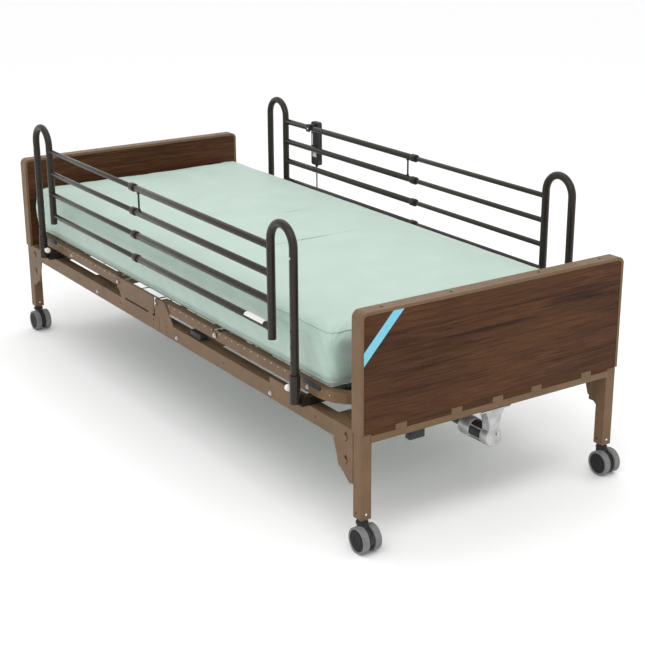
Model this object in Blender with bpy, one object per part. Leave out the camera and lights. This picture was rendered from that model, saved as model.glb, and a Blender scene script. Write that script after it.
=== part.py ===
"""A full-electric homecare bed: two bed ends on telescoping legs and casters, a split steel
frame, a four-section link-spring deck with its mattress, two linear actuators, a height
motor with its drive shaft, full-length side rails and a hand control on its cord.

Metres, +Z up. +Y points to the head of the bed and +X to the far side. Every shape is
written in bed coordinates, whose origin lies on the floor under the middle of the frame.
The empty named bed carries them all. It sits one caster trail towards the head and half
the hand control's overhang towards the near side, which puts the world's origin under
the middle of the whole object, wheels and hand control included.
"""

import math

import bmesh
import bpy
from mathutils import Matrix, Vector

INCH = 0.0254
GAP = 0.0003  # between pieces that touch

# Overall
BED_WIDTH = 36 * INCH
BED_LENGTH = 88 * INCH
HALF_W = BED_WIDTH / 2
HALF_L = BED_LENGTH / 2
TRAVEL = 9 * INCH  # how far the legs telescope

# Bed ends
BOARD_DEPTH = 0.042
BOARD_Y = HALF_L - BOARD_DEPTH / 2
BOARD_TOP = 0.672
BOARD_STEP = 0.337  # where the wide board stops and the bare leg goes on
BOARD_RADIUS = 0.020
BAND = 0.009  # the steel band round the panel
CHANNEL_BOTTOM = 0.311
CHANNEL_TOP = 0.331
SHEET = 0.0025

# Legs
POST_BOTTOM = 0.092
POST_X = (0.4198, 0.4538)
POST_HALF_Y = 0.0185
BORE_X = (0.4233, 0.4503)
BORE_HALF_Y = 0.0125
LEG_X = sum(BORE_X) / 2
LEG_HALF_X = 0.0125
LEG_HALF_Y = 0.0115
LEG_BOTTOM = 0.0935
LEG_TOP = 0.605

# Casters
WHEEL_RADIUS = 0.0375
TRAIL = 0.015
AXLE_RADIUS = 0.004

# Frame rails
RAIL_X = (0.4515, 0.4545)  # the web of the side channel
RAIL_Z = (0.295, 0.341)
FLANGE_INNER = 0.4145
RAIL_END = 1.0777  # against the legs
RAIL_TOP_END = 1.0752  # against the wider board above them
SEAM = 0.015  # the joint between the two halves of the frame

# Deck
PIVOT_Z = 0.391
BACK_PIVOT = 0.312
THIGH_PIVOT = 0.032
KNEE_PIVOT = -0.350
DECK_X = 0.4505  # outer face of the deck's angle iron
DECK_Z = (0.375, 0.407)
ANGLE = 0.003
DECK_HEAD = 1.040
DECK_FOOT = -1.024
DECK_RADIUS = 0.120
END_RADIUS = 0.016
PIN_RADIUS = 0.006
SPRING_Z = (0.398, 0.4005)

# Mattress
MATTRESS_X = 0.455
MATTRESS_Z = (0.4085, 0.574)
MATTRESS_Y = (-0.965, 1.065)
BACK_ANGLE = math.radians(60)
THIGH_ANGLE = math.radians(30)

# Actuators, each from an anchor pin on a cross member to a pin on a deck lever
ANCHOR_Z = 0.262
BACK_ANCHOR = -0.200
THIGH_ANCHOR = 0.560
BACK_LEVER = (0.332, 0.301)
THIGH_LEVER = (0.012, 0.291)
BACK_ACTUATOR_X = -0.130
THIGH_ACTUATOR_X = 0.130

# Height motor
MOTOR_Z = 0.222
MOTOR_RADIUS = 0.029

# Side rails
SIDE_X = 0.492
HOOP_RADIUS = 0.057
HOOP_TUBE = 0.012
HOOP_Y = 0.801
HOOP_TOP = 0.785  # the centre of the bend
LONG_LEG_BOTTOM = 0.356
SHORT_LEG_BOTTOM = 0.503
BAR_Z = (0.768, 0.690, 0.613, 0.536)
THICK_BAR = 0.0105
THICK_BORE = 0.0088
THIN_BAR = 0.0082
COLLAR_Y = 0.090  # where the thin bars enter the thick ones, on the far side of the middle
THIN_END = -0.060
BORE_END = 0.130
SOCKET_Z = (0.352, 0.434)
SOCKET_TUBE = 0.015
CROSSBAR_Z = (RAIL_Z[1] + GAP, 0.366)

# Hand control
PENDANT_X = (0.508, 0.528)
PENDANT_Y = (0.542, 0.590)
PENDANT_Z = (0.616, 0.790)
BUTTON_PROUD = 0.0016
CORD_RADIUS = 0.0025

BROWN = ("frame_enamel", (0.29, 0.20, 0.12), 0.40, 0.1)
WALNUT = ("walnut_laminate", (0.09, 0.040, 0.020), 0.45, 0.0)
BLACK_STEEL = ("rail_enamel", (0.030, 0.026, 0.022), 0.32, 0.2)
ZINC = ("zinc_plate", (0.62, 0.62, 0.60), 0.30, 1.0)
CAST = ("die_cast", (0.60, 0.61, 0.62), 0.35, 0.9)
GREEN = ("green_enamel", (0.02, 0.09, 0.07), 0.40, 0.1)
BLACK_PLASTIC = ("black_plastic", (0.02, 0.02, 0.022), 0.45, 0.0)
WHITE_PLASTIC = ("white_plastic", (0.80, 0.80, 0.78), 0.40, 0.0)
GREY_TYRE = ("grey_tyre", (0.16, 0.17, 0.17), 0.60, 0.0)
BUTTON_GREY = ("button_grey", (0.35, 0.37, 0.40), 0.50, 0.0)
VINYL = ("mattress_cover", (0.50, 0.66, 0.57), 0.45, 0.0)
CORD_RUBBER = ("cord_rubber", (0.03, 0.03, 0.03), 0.55, 0.0)

for old in list(bpy.data.objects):
    bpy.data.objects.remove(old, do_unlink=True)


def material(finish):
    """The material of that name, made on first use."""
    name, colour, roughness, metallic = finish
    found = bpy.data.materials.get(name)
    if found:
        return found
    made = bpy.data.materials.new(name)
    made.use_nodes = True
    shader = made.node_tree.nodes["Principled BSDF"]
    shader.inputs["Base Color"].default_value = (*colour, 1)
    shader.inputs["Roughness"].default_value = roughness
    shader.inputs["Metallic"].default_value = metallic
    return made


def frame_empty(name, place, parent=None):
    """An empty at a point given in bed coordinates: the bed itself, or a joint's axis."""
    empty = bpy.data.objects.new(name, None)
    bpy.context.collection.objects.link(empty)
    empty.empty_display_size = 0.05
    if parent:
        empty.parent = parent
        origin = Vector(parent["place"])
    else:
        origin = Vector((0, 0, 0))
    empty["place"] = place
    empty.location = Vector(place) - origin
    return empty


OVERHANG = PENDANT_X[1] + BUTTON_PROUD - SIDE_X - SOCKET_TUBE * math.cos(math.pi / 16)
BED = frame_empty("bed", (0, 0, 0))
BED.location = (-OVERHANG / 2, TRAIL, 0)


def piece(mesh_data):
    """A loose helper object round a bmesh, to be joined or cut with."""
    mesh = bpy.data.meshes.new("piece")
    bmesh.ops.recalc_face_normals(mesh_data, faces=mesh_data.faces[:])
    mesh_data.to_mesh(mesh)
    mesh_data.free()
    made = bpy.data.objects.new("piece", mesh)
    bpy.context.collection.objects.link(made)
    return made


def box(low, high):
    mesh = bmesh.new()
    low, high = Vector(low), Vector(high)
    size = Matrix.Diagonal((*(high - low), 1))
    bmesh.ops.create_cube(mesh, size=1, matrix=Matrix.Translation((low + high) / 2) @ size)
    return piece(mesh)


def span(low, high, side):
    """The two ends of a range, turned over to the side's sign and put in order."""
    return tuple(sorted((side * low, side * high)))


AXES = {"X": (1, 2, 0), "Y": (0, 2, 1), "Z": (0, 1, 2)}


def prism(outline, axis, start, end):
    """An outline in the plane across the axis (YZ, XZ or XY), extruded from start to end."""
    first, second, along = AXES[axis]
    mesh = bmesh.new()
    corners = []
    for a, b in outline:
        point = [0, 0, 0]
        point[first] = a
        point[second] = b
        point[along] = start
        corners.append(mesh.verts.new(point))
    face = mesh.faces.new(corners)
    grown = bmesh.ops.extrude_face_region(mesh, geom=[face])
    shift = [0, 0, 0]
    shift[along] = end - start
    moved = [item for item in grown["geom"] if isinstance(item, bmesh.types.BMVert)]
    bmesh.ops.translate(mesh, verts=moved, vec=shift)
    return piece(mesh)


def rod(centre, axis, start, end, radius, sides=12):
    """A round bar along an axis. centre holds its two coordinates across that axis."""
    outline = []
    for step in range(sides):
        turn = 2 * math.pi * (step + 0.5) / sides
        outline.append((centre[0] + radius * math.cos(turn), centre[1] + radius * math.sin(turn)))
    return prism(outline, axis, start, end)


def arc(centre, radius, start, end, steps):
    """Points round a centre from one angle to another, in degrees."""
    points = []
    for step in range(steps + 1):
        turn = math.radians(start + (end - start) * step / steps)
        points.append((centre[0] + radius * math.cos(turn), centre[1] + radius * math.sin(turn)))
    return points


def turned(profile, sides):
    """A closed profile of (along, radius) points turned round the X axis."""
    mesh = bmesh.new()
    rings = []
    for step in range(sides):
        turn = 2 * math.pi * step / sides
        ring = []
        for along, radius in profile:
            if radius == 0 and step:
                ring.append(rings[0][len(ring)])
            else:
                ring.append(mesh.verts.new((along, -radius * math.sin(turn), -radius * math.cos(turn))))
        rings.append(ring)
    for step in range(sides):
        here, there = rings[step], rings[(step + 1) % sides]
        for near in range(len(profile) - 1):
            corners = [here[near], here[near + 1], there[near + 1], there[near]]
            mesh.faces.new(list(dict.fromkeys(corners)))
    return piece(mesh)


def bent_tube(points, radius, sides=12):
    """A round bar swept along a polyline that stays in one plane of constant X."""
    mesh = bmesh.new()
    rings = []
    for index, point in enumerate(points):
        before = Vector(points[max(index - 1, 0)])
        after = Vector(points[min(index + 1, len(points) - 1)])
        along = (after - before).normalized()
        across = Vector((1, 0, 0))
        up = along.cross(across)
        ring = []
        for step in range(sides):
            turn = 2 * math.pi * (step + 0.5) / sides
            ring.append(mesh.verts.new(Vector(point) + radius * (math.cos(turn) * across + math.sin(turn) * up)))
        rings.append(ring)
    for here, there in zip(rings, rings[1:]):
        for step in range(sides):
            after = (step + 1) % sides
            mesh.faces.new([here[step], here[after], there[after], there[step]])
    mesh.faces.new(rings[0])
    mesh.faces.new(rings[-1])
    return piece(mesh)


def combine(base, others, operation):
    """Joins the others to the base, or cuts them from it, and removes them."""
    for other in others:
        modifier = base.modifiers.new(operation.lower(), "BOOLEAN")
        modifier.operation = operation
        modifier.solver = "EXACT"
        modifier.object = other
    graph = bpy.context.evaluated_depsgraph_get()
    result = bpy.data.meshes.new_from_object(base.evaluated_get(graph))
    base.modifiers.clear()
    base.data = result
    for other in others:
        bpy.data.objects.remove(other, do_unlink=True)
    return base


def tidy_faces(mesh):
    """Joins flat neighbours that a cut left apart, then splits every face into even triangles."""
    work = bmesh.new()
    work.from_mesh(mesh)
    bmesh.ops.remove_doubles(work, verts=work.verts[:], dist=1e-6)
    bmesh.ops.dissolve_limit(work, angle_limit=math.radians(0.2), verts=work.verts[:], edges=work.edges[:])
    bmesh.ops.triangulate(work, faces=work.faces[:], quad_method="SHORT_EDGE", ngon_method="BEAUTY")
    work.to_mesh(mesh)
    work.free()


def weld(pieces):
    return combine(pieces[0], pieces[1:], "UNION")


def cut(base, cutters):
    return combine(base, cutters, "DIFFERENCE")


def finish(name, made, look, carrier=None):
    """Names a shape, gives it its material and hangs it on the empty that carries it."""
    carrier = carrier or BED
    made.name = name
    made.data.name = name
    made.data.materials.clear()
    made.data.materials.append(material(look))
    made.data.shade_smooth()
    made.data.set_sharp_from_angle(angle=math.radians(35))
    made.parent = carrier
    made.location = -Vector(carrier["place"])
    return made


# ---------------------------------------------------------------- bed ends


def board_outline(inset):
    """The inverted U of the board's edge in XZ, open at the bottom."""
    radius = BOARD_RADIUS - inset
    side = HALF_W - inset
    top = BOARD_TOP - inset
    left = arc((-side + radius, top - radius), radius, 180, 90, 4)
    right = arc((side - radius, top - radius), radius, 90, 0, 4)
    return [(-side, BOARD_STEP - 0.0006), *left, *right, (side, BOARD_STEP - 0.0006)]


def board_frame(name, end):
    """Band, bottom channel and two hollow posts. end is 1 at the head and -1 at the foot."""
    middle = end * BOARD_Y
    front, back = middle - BOARD_DEPTH / 2, middle + BOARD_DEPTH / 2
    ring = board_outline(0) + list(reversed(board_outline(BAND)))
    pieces = [prism(ring, "Y", front, back)]
    channel = [
        (front, CHANNEL_BOTTOM),
        (back, CHANNEL_BOTTOM),
        (back, CHANNEL_TOP),
        (back - SHEET, CHANNEL_TOP),
        (back - SHEET, CHANNEL_BOTTOM + SHEET),
        (front + SHEET, CHANNEL_BOTTOM + SHEET),
        (front + SHEET, CHANNEL_TOP),
        (front, CHANNEL_TOP),
    ]
    pieces.append(prism(channel, "X", -POST_X[0] - 0.010, POST_X[0] + 0.010))
    for side in (-1, 1):
        low, high = span(*POST_X, side)
        pieces.append(box((low, middle - POST_HALF_Y, POST_BOTTOM), (high, middle + POST_HALF_Y, BOARD_STEP)))
        low, high = span(POST_X[0] + 0.0005, POST_X[1] - 0.0005, side)
        pieces.append(box((low, middle - 0.016, 0.320), (high, middle + 0.016, BOARD_TOP - BAND + 0.002)))
        pieces.extend(hook_bracket(side, end))
    frame = weld(pieces)
    cutters = []
    for side in (-1, 1):
        low, high = span(*BORE_X, side)
        cutters.append(box((low, middle - BORE_HALF_Y, 0.080), (high, middle + BORE_HALF_Y, 0.650)))
        low, high = span(0.410, 0.430, side)
        cutters.append(box((low, middle - 0.007, 0.340), (high, middle + 0.007, 0.612)))
    cutters.append(rod((0, middle), "Z", 0.305, 0.320, 0.009))
    for hole_x in (-0.380, -0.154, 0.154, 0.380):
        cutters.append(rod((hole_x, middle), "Z", BOARD_TOP - 0.005, BOARD_TOP + 0.005, 0.003, 8))
    frame = cut(frame, cutters)
    tidy_faces(frame.data)
    return finish(name, frame, BROWN)


def hook_bracket(side, end):
    """The plate on a post that the frame hooks over, with its two headed rivets."""
    low, high = span(1.020, 1.0790, end)
    x_low, x_high = span(0.4482, 0.4510, side)
    pieces = [box((x_low, low, 0.205), (x_high, high, 0.334))]
    for height in (0.310, 0.243):
        centre = (end * 1.046, height)
        start, stop = span(0.4490, 0.4562, side)
        pieces.append(rod(centre, "X", start, stop, 0.0040, 8))
        start, stop = span(0.4549, 0.4566, side)
        pieces.append(rod(centre, "X", start, stop, 0.0072, 10))
    return pieces


def board_panel(name, end):
    """Two laminate skins with a strip across the top: the lift gear hangs between them."""
    middle = end * BOARD_Y
    top = BOARD_TOP - BAND - GAP
    width, between_legs = HALF_W - BAND - GAP, POST_X[0] - 0.001
    step, bottom = BOARD_STEP + GAP, CHANNEL_TOP + GAP
    pieces = []
    for face in (-1, 1):
        low, high = span(0.0170, 0.0200, face)
        corner = BOARD_RADIUS - BAND
        left = arc((-width + corner, top - corner), corner, 180, 90, 3)
        right = arc((width - corner, top - corner), corner, 90, 0, 3)
        outline = [(-width, step), *left, *right, (width, step), (between_legs, step)]
        outline += [(between_legs, bottom), (-between_legs, bottom), (-between_legs, step)]
        pieces.append(prism(outline, "Y", middle + low, middle + high))
    strip = ((-between_legs, middle - 0.018, top - 0.004), (between_legs, middle + 0.018, top - 0.001))
    pieces.append(box(*strip))
    return finish(name, weld(pieces), WALNUT)


def leg_carriage(name, end, carrier):
    """Both inner legs of one end, with the lift bar and its nut that join them."""
    middle = end * BOARD_Y
    pieces = [box((-LEG_X, middle - 0.006, 0.580), (LEG_X, middle + 0.006, 0.600))]
    pieces.append(box((-0.018, middle - 0.014, 0.574), (0.018, middle + 0.014, 0.606)))
    for side in (-1, 1):
        low, high = span(LEG_X - LEG_HALF_X, LEG_X + LEG_HALF_X, side)
        pieces.append(box((low, middle - LEG_HALF_Y, LEG_BOTTOM), (high, middle + LEG_HALF_Y, LEG_TOP)))
    carriage = weld(pieces)
    cutters = [rod((0, middle), "Z", 0.560, 0.620, 0.0085)]
    for side in (-1, 1):
        centre = side * LEG_X
        cutters.append(rod((centre, middle), "Z", 0.080, 0.180, 0.0064))
        low, high = centre - LEG_HALF_X + 0.002, centre + LEG_HALF_X - 0.002
        cutters.append(box((low, middle - LEG_HALF_Y + 0.002, 0.145), (high, middle + LEG_HALF_Y - 0.002, 0.560)))
    return finish(name, cut(carriage, cutters), ZINC, carrier)


def lift_screw(name, end, carrier):
    """The upright screw that the lift bar's nut climbs, on its thrust collar."""
    middle = end * BOARD_Y
    screw = rod((0, middle), "Z", CHANNEL_BOTTOM + GAP, 0.632, 0.007, 10)
    collar = rod((0, middle), "Z", CHANNEL_BOTTOM + SHEET + GAP, 0.324, 0.012, 12)
    return finish(name, weld([screw, collar]), ZINC, carrier)


# ---------------------------------------------------------------- casters


def caster_fork(name, x, y, carrier):
    """The housing between the twin wheels, with its swivel plate and stem."""
    axle = (y - TRAIL, WHEEL_RADIUS)
    outline = arc(axle, 0.019, 140, 380, 10) + [(y + 0.013, 0.0790), (y - 0.016, 0.0790)]
    pieces = [prism(outline, "X", x - 0.0085, x + 0.0085)]
    pieces.append(rod((x, y), "Z", 0.0768, 0.0885, 0.017, 14))
    pieces.append(rod((x, y), "Z", 0.0860, 0.1320, 0.0060, 10))
    fork = cut(weld(pieces), [rod(axle, "X", x - 0.02, x + 0.02, AXLE_RADIUS + 0.0005, 10)])
    return finish(name, fork, BLACK_PLASTIC, carrier)


def caster_wheels(name, x, y, carrier):
    """Both wheels of a twin caster on their axle."""
    inner, outer = 0.0095, 0.0295
    half = [
        (inner, AXLE_RADIUS),
        (inner, 0.034),
        (inner + 0.003, WHEEL_RADIUS),
        (outer - 0.004, WHEEL_RADIUS),
        (outer, 0.033),
        (outer - 0.001, 0.027),
        (outer - 0.004, 0.025),
        (outer - 0.004, 0),
    ]
    profile = [(-along, radius) for along, radius in reversed(half)] + half
    wheels = turned(profile, 24)
    wheels.data.transform(Matrix.Translation((x, y - TRAIL, WHEEL_RADIUS)))
    return finish(name, wheels, GREY_TYRE, carrier)


def caster_brake(name, x, y, carrier):
    """The foot pedal between the wheels, on the trailing side."""
    shape = ((-0.0245, 0.019), (-0.036, 0.011), (-0.0365, -0.003), (-0.031, -0.005), (-0.0262, 0.004))
    outline = [(y - TRAIL + a, WHEEL_RADIUS + b) for a, b in shape]
    return finish(name, prism(outline, "X", x - 0.0080, x + 0.0080), BLACK_PLASTIC, carrier)


# ---------------------------------------------------------------- frame


def gusset_outline(end):
    """The hook plate's part of the rail's side view, from the rail's bottom edge to its end."""
    points = [(0.988, RAIL_Z[0]), (0.988, 0.289), (1.011, 0.218), (1.023, 0.215), (1.062, 0.184)]
    points += [(RAIL_END, 0.188), (RAIL_END, BOARD_STEP - 0.001)]
    points += [(RAIL_TOP_END, BOARD_STEP - 0.001), (RAIL_TOP_END, RAIL_Z[1])]
    return [(end * y, z) for y, z in points]


def hook_slots(side, end):
    """The slots in a gusset that its bracket's rivets sit in."""
    low, high = span(0.4400, 0.4600, side)
    slots = []
    for height in (0.310, 0.243):
        y = end * 1.046
        outline = arc((y, height + 0.010), 0.0062, 0, 180, 4) + arc((y, height - 0.004), 0.0062, 180, 360, 4)
        slots.append(prism(outline, "X", low, high))
    return slots


def cross_member(y):
    """An inverted channel from rail to rail."""
    top, bottom, half = 0.3400, 0.2965, 0.020
    outline = [
        (y - half, bottom),
        (y - half, top),
        (y + half, top),
        (y + half, bottom),
        (y + half - ANGLE, bottom),
        (y + half - ANGLE, top - ANGLE),
        (y - half + ANGLE, top - ANGLE),
        (y - half + ANGLE, bottom),
    ]
    return prism(outline, "X", -0.4530, 0.4530)


def anchor_bracket(x, y):
    """Two cheeks under a cross member with the pin that an actuator swings on."""
    pieces = []
    for side in (-1, 1):
        low, high = span(0.0100, 0.0140, side)
        outline = arc((y, ANCHOR_Z), 0.012, 180, 360, 6) + [(y + 0.0175, 0.300), (y - 0.0175, 0.300)]
        pieces.append(prism(outline, "X", x + low, x + high))
    pieces.append(rod((y, ANCHOR_Z), "X", x - 0.017, x + 0.017, 0.005, 10))
    return pieces


def pivot_pin(side, y):
    """A hinge bolt through the side plate, its head outside."""
    low, high = span(0.4250, 0.4530, side)
    head_low, head_high = span(0.4540, 0.4568, side)
    return [
        rod((y, PIVOT_Z), "X", low, high, PIN_RADIUS),
        rod((y, PIVOT_Z), "X", head_low, head_high, 0.0085),
    ]


def flanges(side, y_top, y_bottom):
    """The rail's two inward flanges; the lower one stops short of the hook bracket."""
    low, high = span(FLANGE_INNER, 0.4530, side)
    upper = box((low, y_top[0], RAIL_Z[1] - ANGLE), (high, y_top[1], RAIL_Z[1]))
    lower = box((low, y_bottom[0], RAIL_Z[0]), (high, y_bottom[1], RAIL_Z[0] + ANGLE))
    return [upper, lower]


def frame_half_head():
    """Head half: side rails, seat plates, splice tongues, two cross members and hook plates."""
    start = SEAM + 0.001
    pieces = []
    for side in (-1, 1):
        low, high = span(*RAIL_X, side)
        web = [(start, RAIL_Z[1]), (start, RAIL_Z[0]), *gusset_outline(1)]
        pieces.append(prism(web, "X", low, high))
        pieces.extend(flanges(side, (start, RAIL_TOP_END), (start, 1.012)))
        seat = [(0.052, 0.3485), (0.052, 0.4080), *arc((BACK_PIVOT, PIVOT_Z), 0.0170, 90, -70, 6)]
        seat += [(BACK_PIVOT - 0.015, 0.3485)]
        pieces.append(prism(seat, "X", low, high))
        for foot in (0.062, 0.262):
            pieces.append(box((low, foot, 0.3395), (high, foot + 0.030, 0.350)))
        pieces.extend(pivot_pin(side, BACK_PIVOT))
        inner, outer = span(0.4482, 0.4522, side)
        pieces.append(box((inner, 0.030, 0.301), (outer, 0.120, 0.335)))
        inner, outer = span(0.4482, 0.4510, side)
        pieces.append(box((inner, -0.060, 0.302), (outer, 0.110, 0.334)))
    pieces += [cross_member(0.972), cross_member(THIGH_ANCHOR)]
    pieces += anchor_bracket(THIGH_ACTUATOR_X, THIGH_ANCHOR)
    half = weld(pieces)
    return finish("frame_head_half", cut(half, hook_slots(-1, 1) + hook_slots(1, 1)), BROWN)


def frame_half_foot():
    """Foot half: side rails with the thigh pivot brackets, cross members and hook plates."""
    start = SEAM - 0.001
    pieces = []
    for side in (-1, 1):
        low, high = span(*RAIL_X, side)
        bracket = [(start, RAIL_Z[0]), (start, RAIL_Z[1] + 0.0006), (0.044, RAIL_Z[1] + 0.0006)]
        bracket += arc((THIGH_PIVOT - 0.002, 0.392), 0.014, 0, 90, 4)
        bracket += [(-0.022, 0.406), (-0.030, 0.402), (-0.074, 0.350), (-0.080, RAIL_Z[1])]
        web = bracket + list(reversed(gusset_outline(-1)))
        pieces.append(prism(web, "X", low, high))
        pieces.extend(flanges(side, (-RAIL_TOP_END, start), (-1.012, start)))
        pieces.extend(pivot_pin(side, THIGH_PIVOT))
    pieces += [cross_member(-0.972), cross_member(BACK_ANCHOR)]
    pieces += anchor_bracket(BACK_ACTUATOR_X, BACK_ANCHOR)
    half = weld(pieces)
    return finish("frame_foot_half", cut(half, hook_slots(-1, -1) + hook_slots(1, -1)), BROWN)


# ---------------------------------------------------------------- deck


def deck_outline(y_open, y_end, inset):
    """The U of a deck section's edge in XY, open at y_open and rounded at y_end."""
    way = 1 if y_end > y_open else -1
    radius, side = DECK_RADIUS - inset, DECK_X - inset
    end = y_end - way * inset
    left = arc((-side + radius, end - way * radius), radius, 180, 180 - way * 90, 6)
    right = arc((side - radius, end - way * radius), radius, way * 90, 0, 6)
    return [(-side, y_open), *left, *right, (side, y_open)]


def deck_angle(y_open, y_end):
    """An angle iron bent round in a U: an upright web and a flange along its top."""
    web = deck_outline(y_open, y_end, 0) + list(reversed(deck_outline(y_open, y_end, ANGLE)))
    shelf = deck_outline(y_open, y_end, 0.001) + list(reversed(deck_outline(y_open, y_end, 0.024)))
    return [
        prism(web, "Z", *DECK_Z),
        prism(shelf, "Z", DECK_Z[1] - ANGLE, DECK_Z[1]),
    ]


def hinge_end(side, y_pivot, way):
    """The rounded end of a deck side that sits on a hinge bolt; way points into the section."""
    start, turn = (90, 270) if way > 0 else (270, 450)
    outline = arc((y_pivot, PIVOT_Z), END_RADIUS, start, turn, 8)
    outline += [(y_pivot + way * 0.030, DECK_Z[0]), (y_pivot + way * 0.030, DECK_Z[1])][::way]
    low, high = span(DECK_X - ANGLE, DECK_X, side)
    return prism(outline, "X", low, high)


def hinge_hole(side, y):
    low, high = span(0.4400, 0.4600, side)
    return rod((y, PIVOT_Z), "X", low, high, PIN_RADIUS + 0.0004)


def deck_tube(y):
    return rod((y, 0.388), "X", -0.4490, 0.4490, 0.008, 10)


def lever(x, tube_y, pin):
    """The arm under a deck section that its actuator pushes, with its pin."""
    root = (tube_y, 0.388)
    along = Vector((pin[0] - root[0], pin[1] - root[1])).normalized()
    heading = math.degrees(math.atan2(along.y, along.x))
    outline = arc(root, 0.012, heading + 90, heading + 270, 5)
    outline += arc(pin, 0.010, heading - 90, heading + 90, 5)
    return [
        prism(outline, "X", x - 0.005, x + 0.005),
        rod(pin, "X", x - 0.016, x + 0.016, 0.0045, 10),
    ]


def back_frame(carrier):
    start = BACK_PIVOT + 0.024
    pieces = deck_angle(start, DECK_HEAD)
    pieces += [hinge_end(side, BACK_PIVOT, 1) for side in (-1, 1)]
    pieces += [deck_tube(0.400), deck_tube(0.720)]
    pieces += lever(BACK_ACTUATOR_X, 0.400, BACK_LEVER)
    made = cut(weld(pieces), [hinge_hole(side, BACK_PIVOT) for side in (-1, 1)])
    return finish("back_frame", made, BROWN, carrier)


def thigh_frame(carrier):
    """Two straight angle irons, their cross tubes, the lever and the knee tongues with pins."""
    start, end = THIGH_PIVOT - 0.024, KNEE_PIVOT + 0.0175
    pieces = []
    for side in (-1, 1):
        low, high = span(DECK_X - ANGLE, DECK_X, side)
        pieces.append(box((low, end, DECK_Z[0]), (high, start, DECK_Z[1])))
        inner, outer = span(DECK_X - 0.024, DECK_X - 0.001, side)
        pieces.append(box((inner, end, DECK_Z[1] - ANGLE), (outer, start, DECK_Z[1])))
        pieces.append(hinge_end(side, THIGH_PIVOT, -1))
        inner, outer = span(0.4436, 0.4482, side)
        pieces.append(box((inner, -0.322, 0.3800), (outer, -0.280, 0.4000)))
        inner, outer = span(0.4432, 0.4468, side)
        pieces.append(box((inner, KNEE_PIVOT - 0.012, 0.3790), (outer, -0.290, 0.4010)))
        inner, outer = span(0.4440, 0.4535, side)
        pieces.append(rod((KNEE_PIVOT, PIVOT_Z), "X", inner, outer, PIN_RADIUS))
        inner, outer = span(0.4511, 0.4535, side)
        pieces.append(rod((KNEE_PIVOT, PIVOT_Z), "X", inner, outer, 0.0085))
    pieces += [deck_tube(-0.050), deck_tube(-0.270)]
    pieces += lever(THIGH_ACTUATOR_X, -0.050, THIGH_LEVER)
    made = cut(weld(pieces), [hinge_hole(side, THIGH_PIVOT) for side in (-1, 1)])
    return finish("thigh_frame", made, BROWN, carrier)


def calf_frame(carrier):
    start = KNEE_PIVOT - 0.024
    pieces = deck_angle(start, DECK_FOOT)
    pieces += [hinge_end(side, KNEE_PIVOT, -1) for side in (-1, 1)]
    pieces += [deck_tube(-0.410), deck_tube(-0.720)]
    made = cut(weld(pieces), [hinge_hole(side, KNEE_PIVOT) for side in (-1, 1)])
    return finish("calf_frame", made, BROWN, carrier)


def link_springs(name, y_range, columns, rows, carrier=None, half_width=0.4220):
    """The woven spring deck of one section as a flat grid with open cells."""
    strip = 0.005
    mesh = bmesh.new()

    def lines(low, high, count):
        cell = (high - low - strip) / count
        found = []
        for index in range(count + 1):
            found += [low + index * cell, low + index * cell + strip]
        return found

    across = lines(-half_width, half_width, columns)
    along = lines(*y_range, rows)
    grid = [[mesh.verts.new((x, y, SPRING_Z[0])) for y in along] for x in across]
    for i in range(len(across) - 1):
        for j in range(len(along) - 1):
            if i % 2 and j % 2:
                continue
            mesh.faces.new([grid[i][j], grid[i + 1][j], grid[i + 1][j + 1], grid[i][j + 1]])
    grown = bmesh.ops.extrude_face_region(mesh, geom=mesh.faces[:])
    moved = [item for item in grown["geom"] if isinstance(item, bmesh.types.BMVert)]
    bmesh.ops.translate(mesh, verts=moved, vec=(0, 0, SPRING_Z[1] - SPRING_Z[0]))
    return finish(name, piece(mesh), ZINC, carrier)


# ---------------------------------------------------------------- mattress


def fold_line(y_pivot, angle, side, height):
    """How far from its hinge a mattress section's end lies at a height, so that it folds flat."""
    return y_pivot + side * ((height - PIVOT_Z) * math.tan(angle / 2) + 0.0005)


def fold_edge(y_pivot, angle, side):
    """The two ends of that slanted line, bottom then top."""
    return [(fold_line(y_pivot, angle, side, z), z) for z in MATTRESS_Z]


def mattress_section(name, low_edge, high_edge, carrier=None):
    """A slab between two edges, each a bottom and a top point in YZ."""
    outline = [low_edge[0], high_edge[0], high_edge[1], low_edge[1]]
    return finish(name, prism(outline, "X", -MATTRESS_X, MATTRESS_X), VINYL, carrier)


def plain_edge(y):
    return [(y, z) for z in MATTRESS_Z]


def shifted(edge, distance):
    return [(y + distance, z) for y, z in edge]


def mattress(back, thigh, calf):
    back_low = fold_edge(BACK_PIVOT, BACK_ANGLE, 1)
    seat_high = fold_edge(BACK_PIVOT, BACK_ANGLE, -1)
    seat_low = fold_edge(THIGH_PIVOT, THIGH_ANGLE, 1)
    thigh_high = fold_edge(THIGH_PIVOT, THIGH_ANGLE, -1)
    mattress_section("mattress_back", back_low, plain_edge(MATTRESS_Y[1]), back)
    mattress_section("mattress_seat", seat_low, seat_high)
    mattress_section("mattress_thigh", plain_edge(KNEE_PIVOT + 0.0004), thigh_high, thigh)
    mattress_section("mattress_calf", plain_edge(MATTRESS_Y[0]), plain_edge(KNEE_PIVOT - 0.0004), calf)
    mattress_section("mattress_back_fold", shifted(seat_high, 0.0006), shifted(back_low, -0.0006))
    mattress_section("mattress_thigh_fold", shifted(thigh_high, 0.0006), shifted(seat_low, -0.0006))


# ---------------------------------------------------------------- drives


def along_actuator(made, anchor, reach):
    """Turns a shape made along +Y from the origin so that it points from its anchor pin."""
    pitch = Matrix.Rotation(math.atan2(reach.y, abs(reach.x)), 4, "X")
    about = Matrix.Rotation(math.pi if reach.x < 0 else 0, 4, "Z")
    made.data.transform(Matrix.Translation(anchor) @ about @ pitch)
    return made


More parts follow.
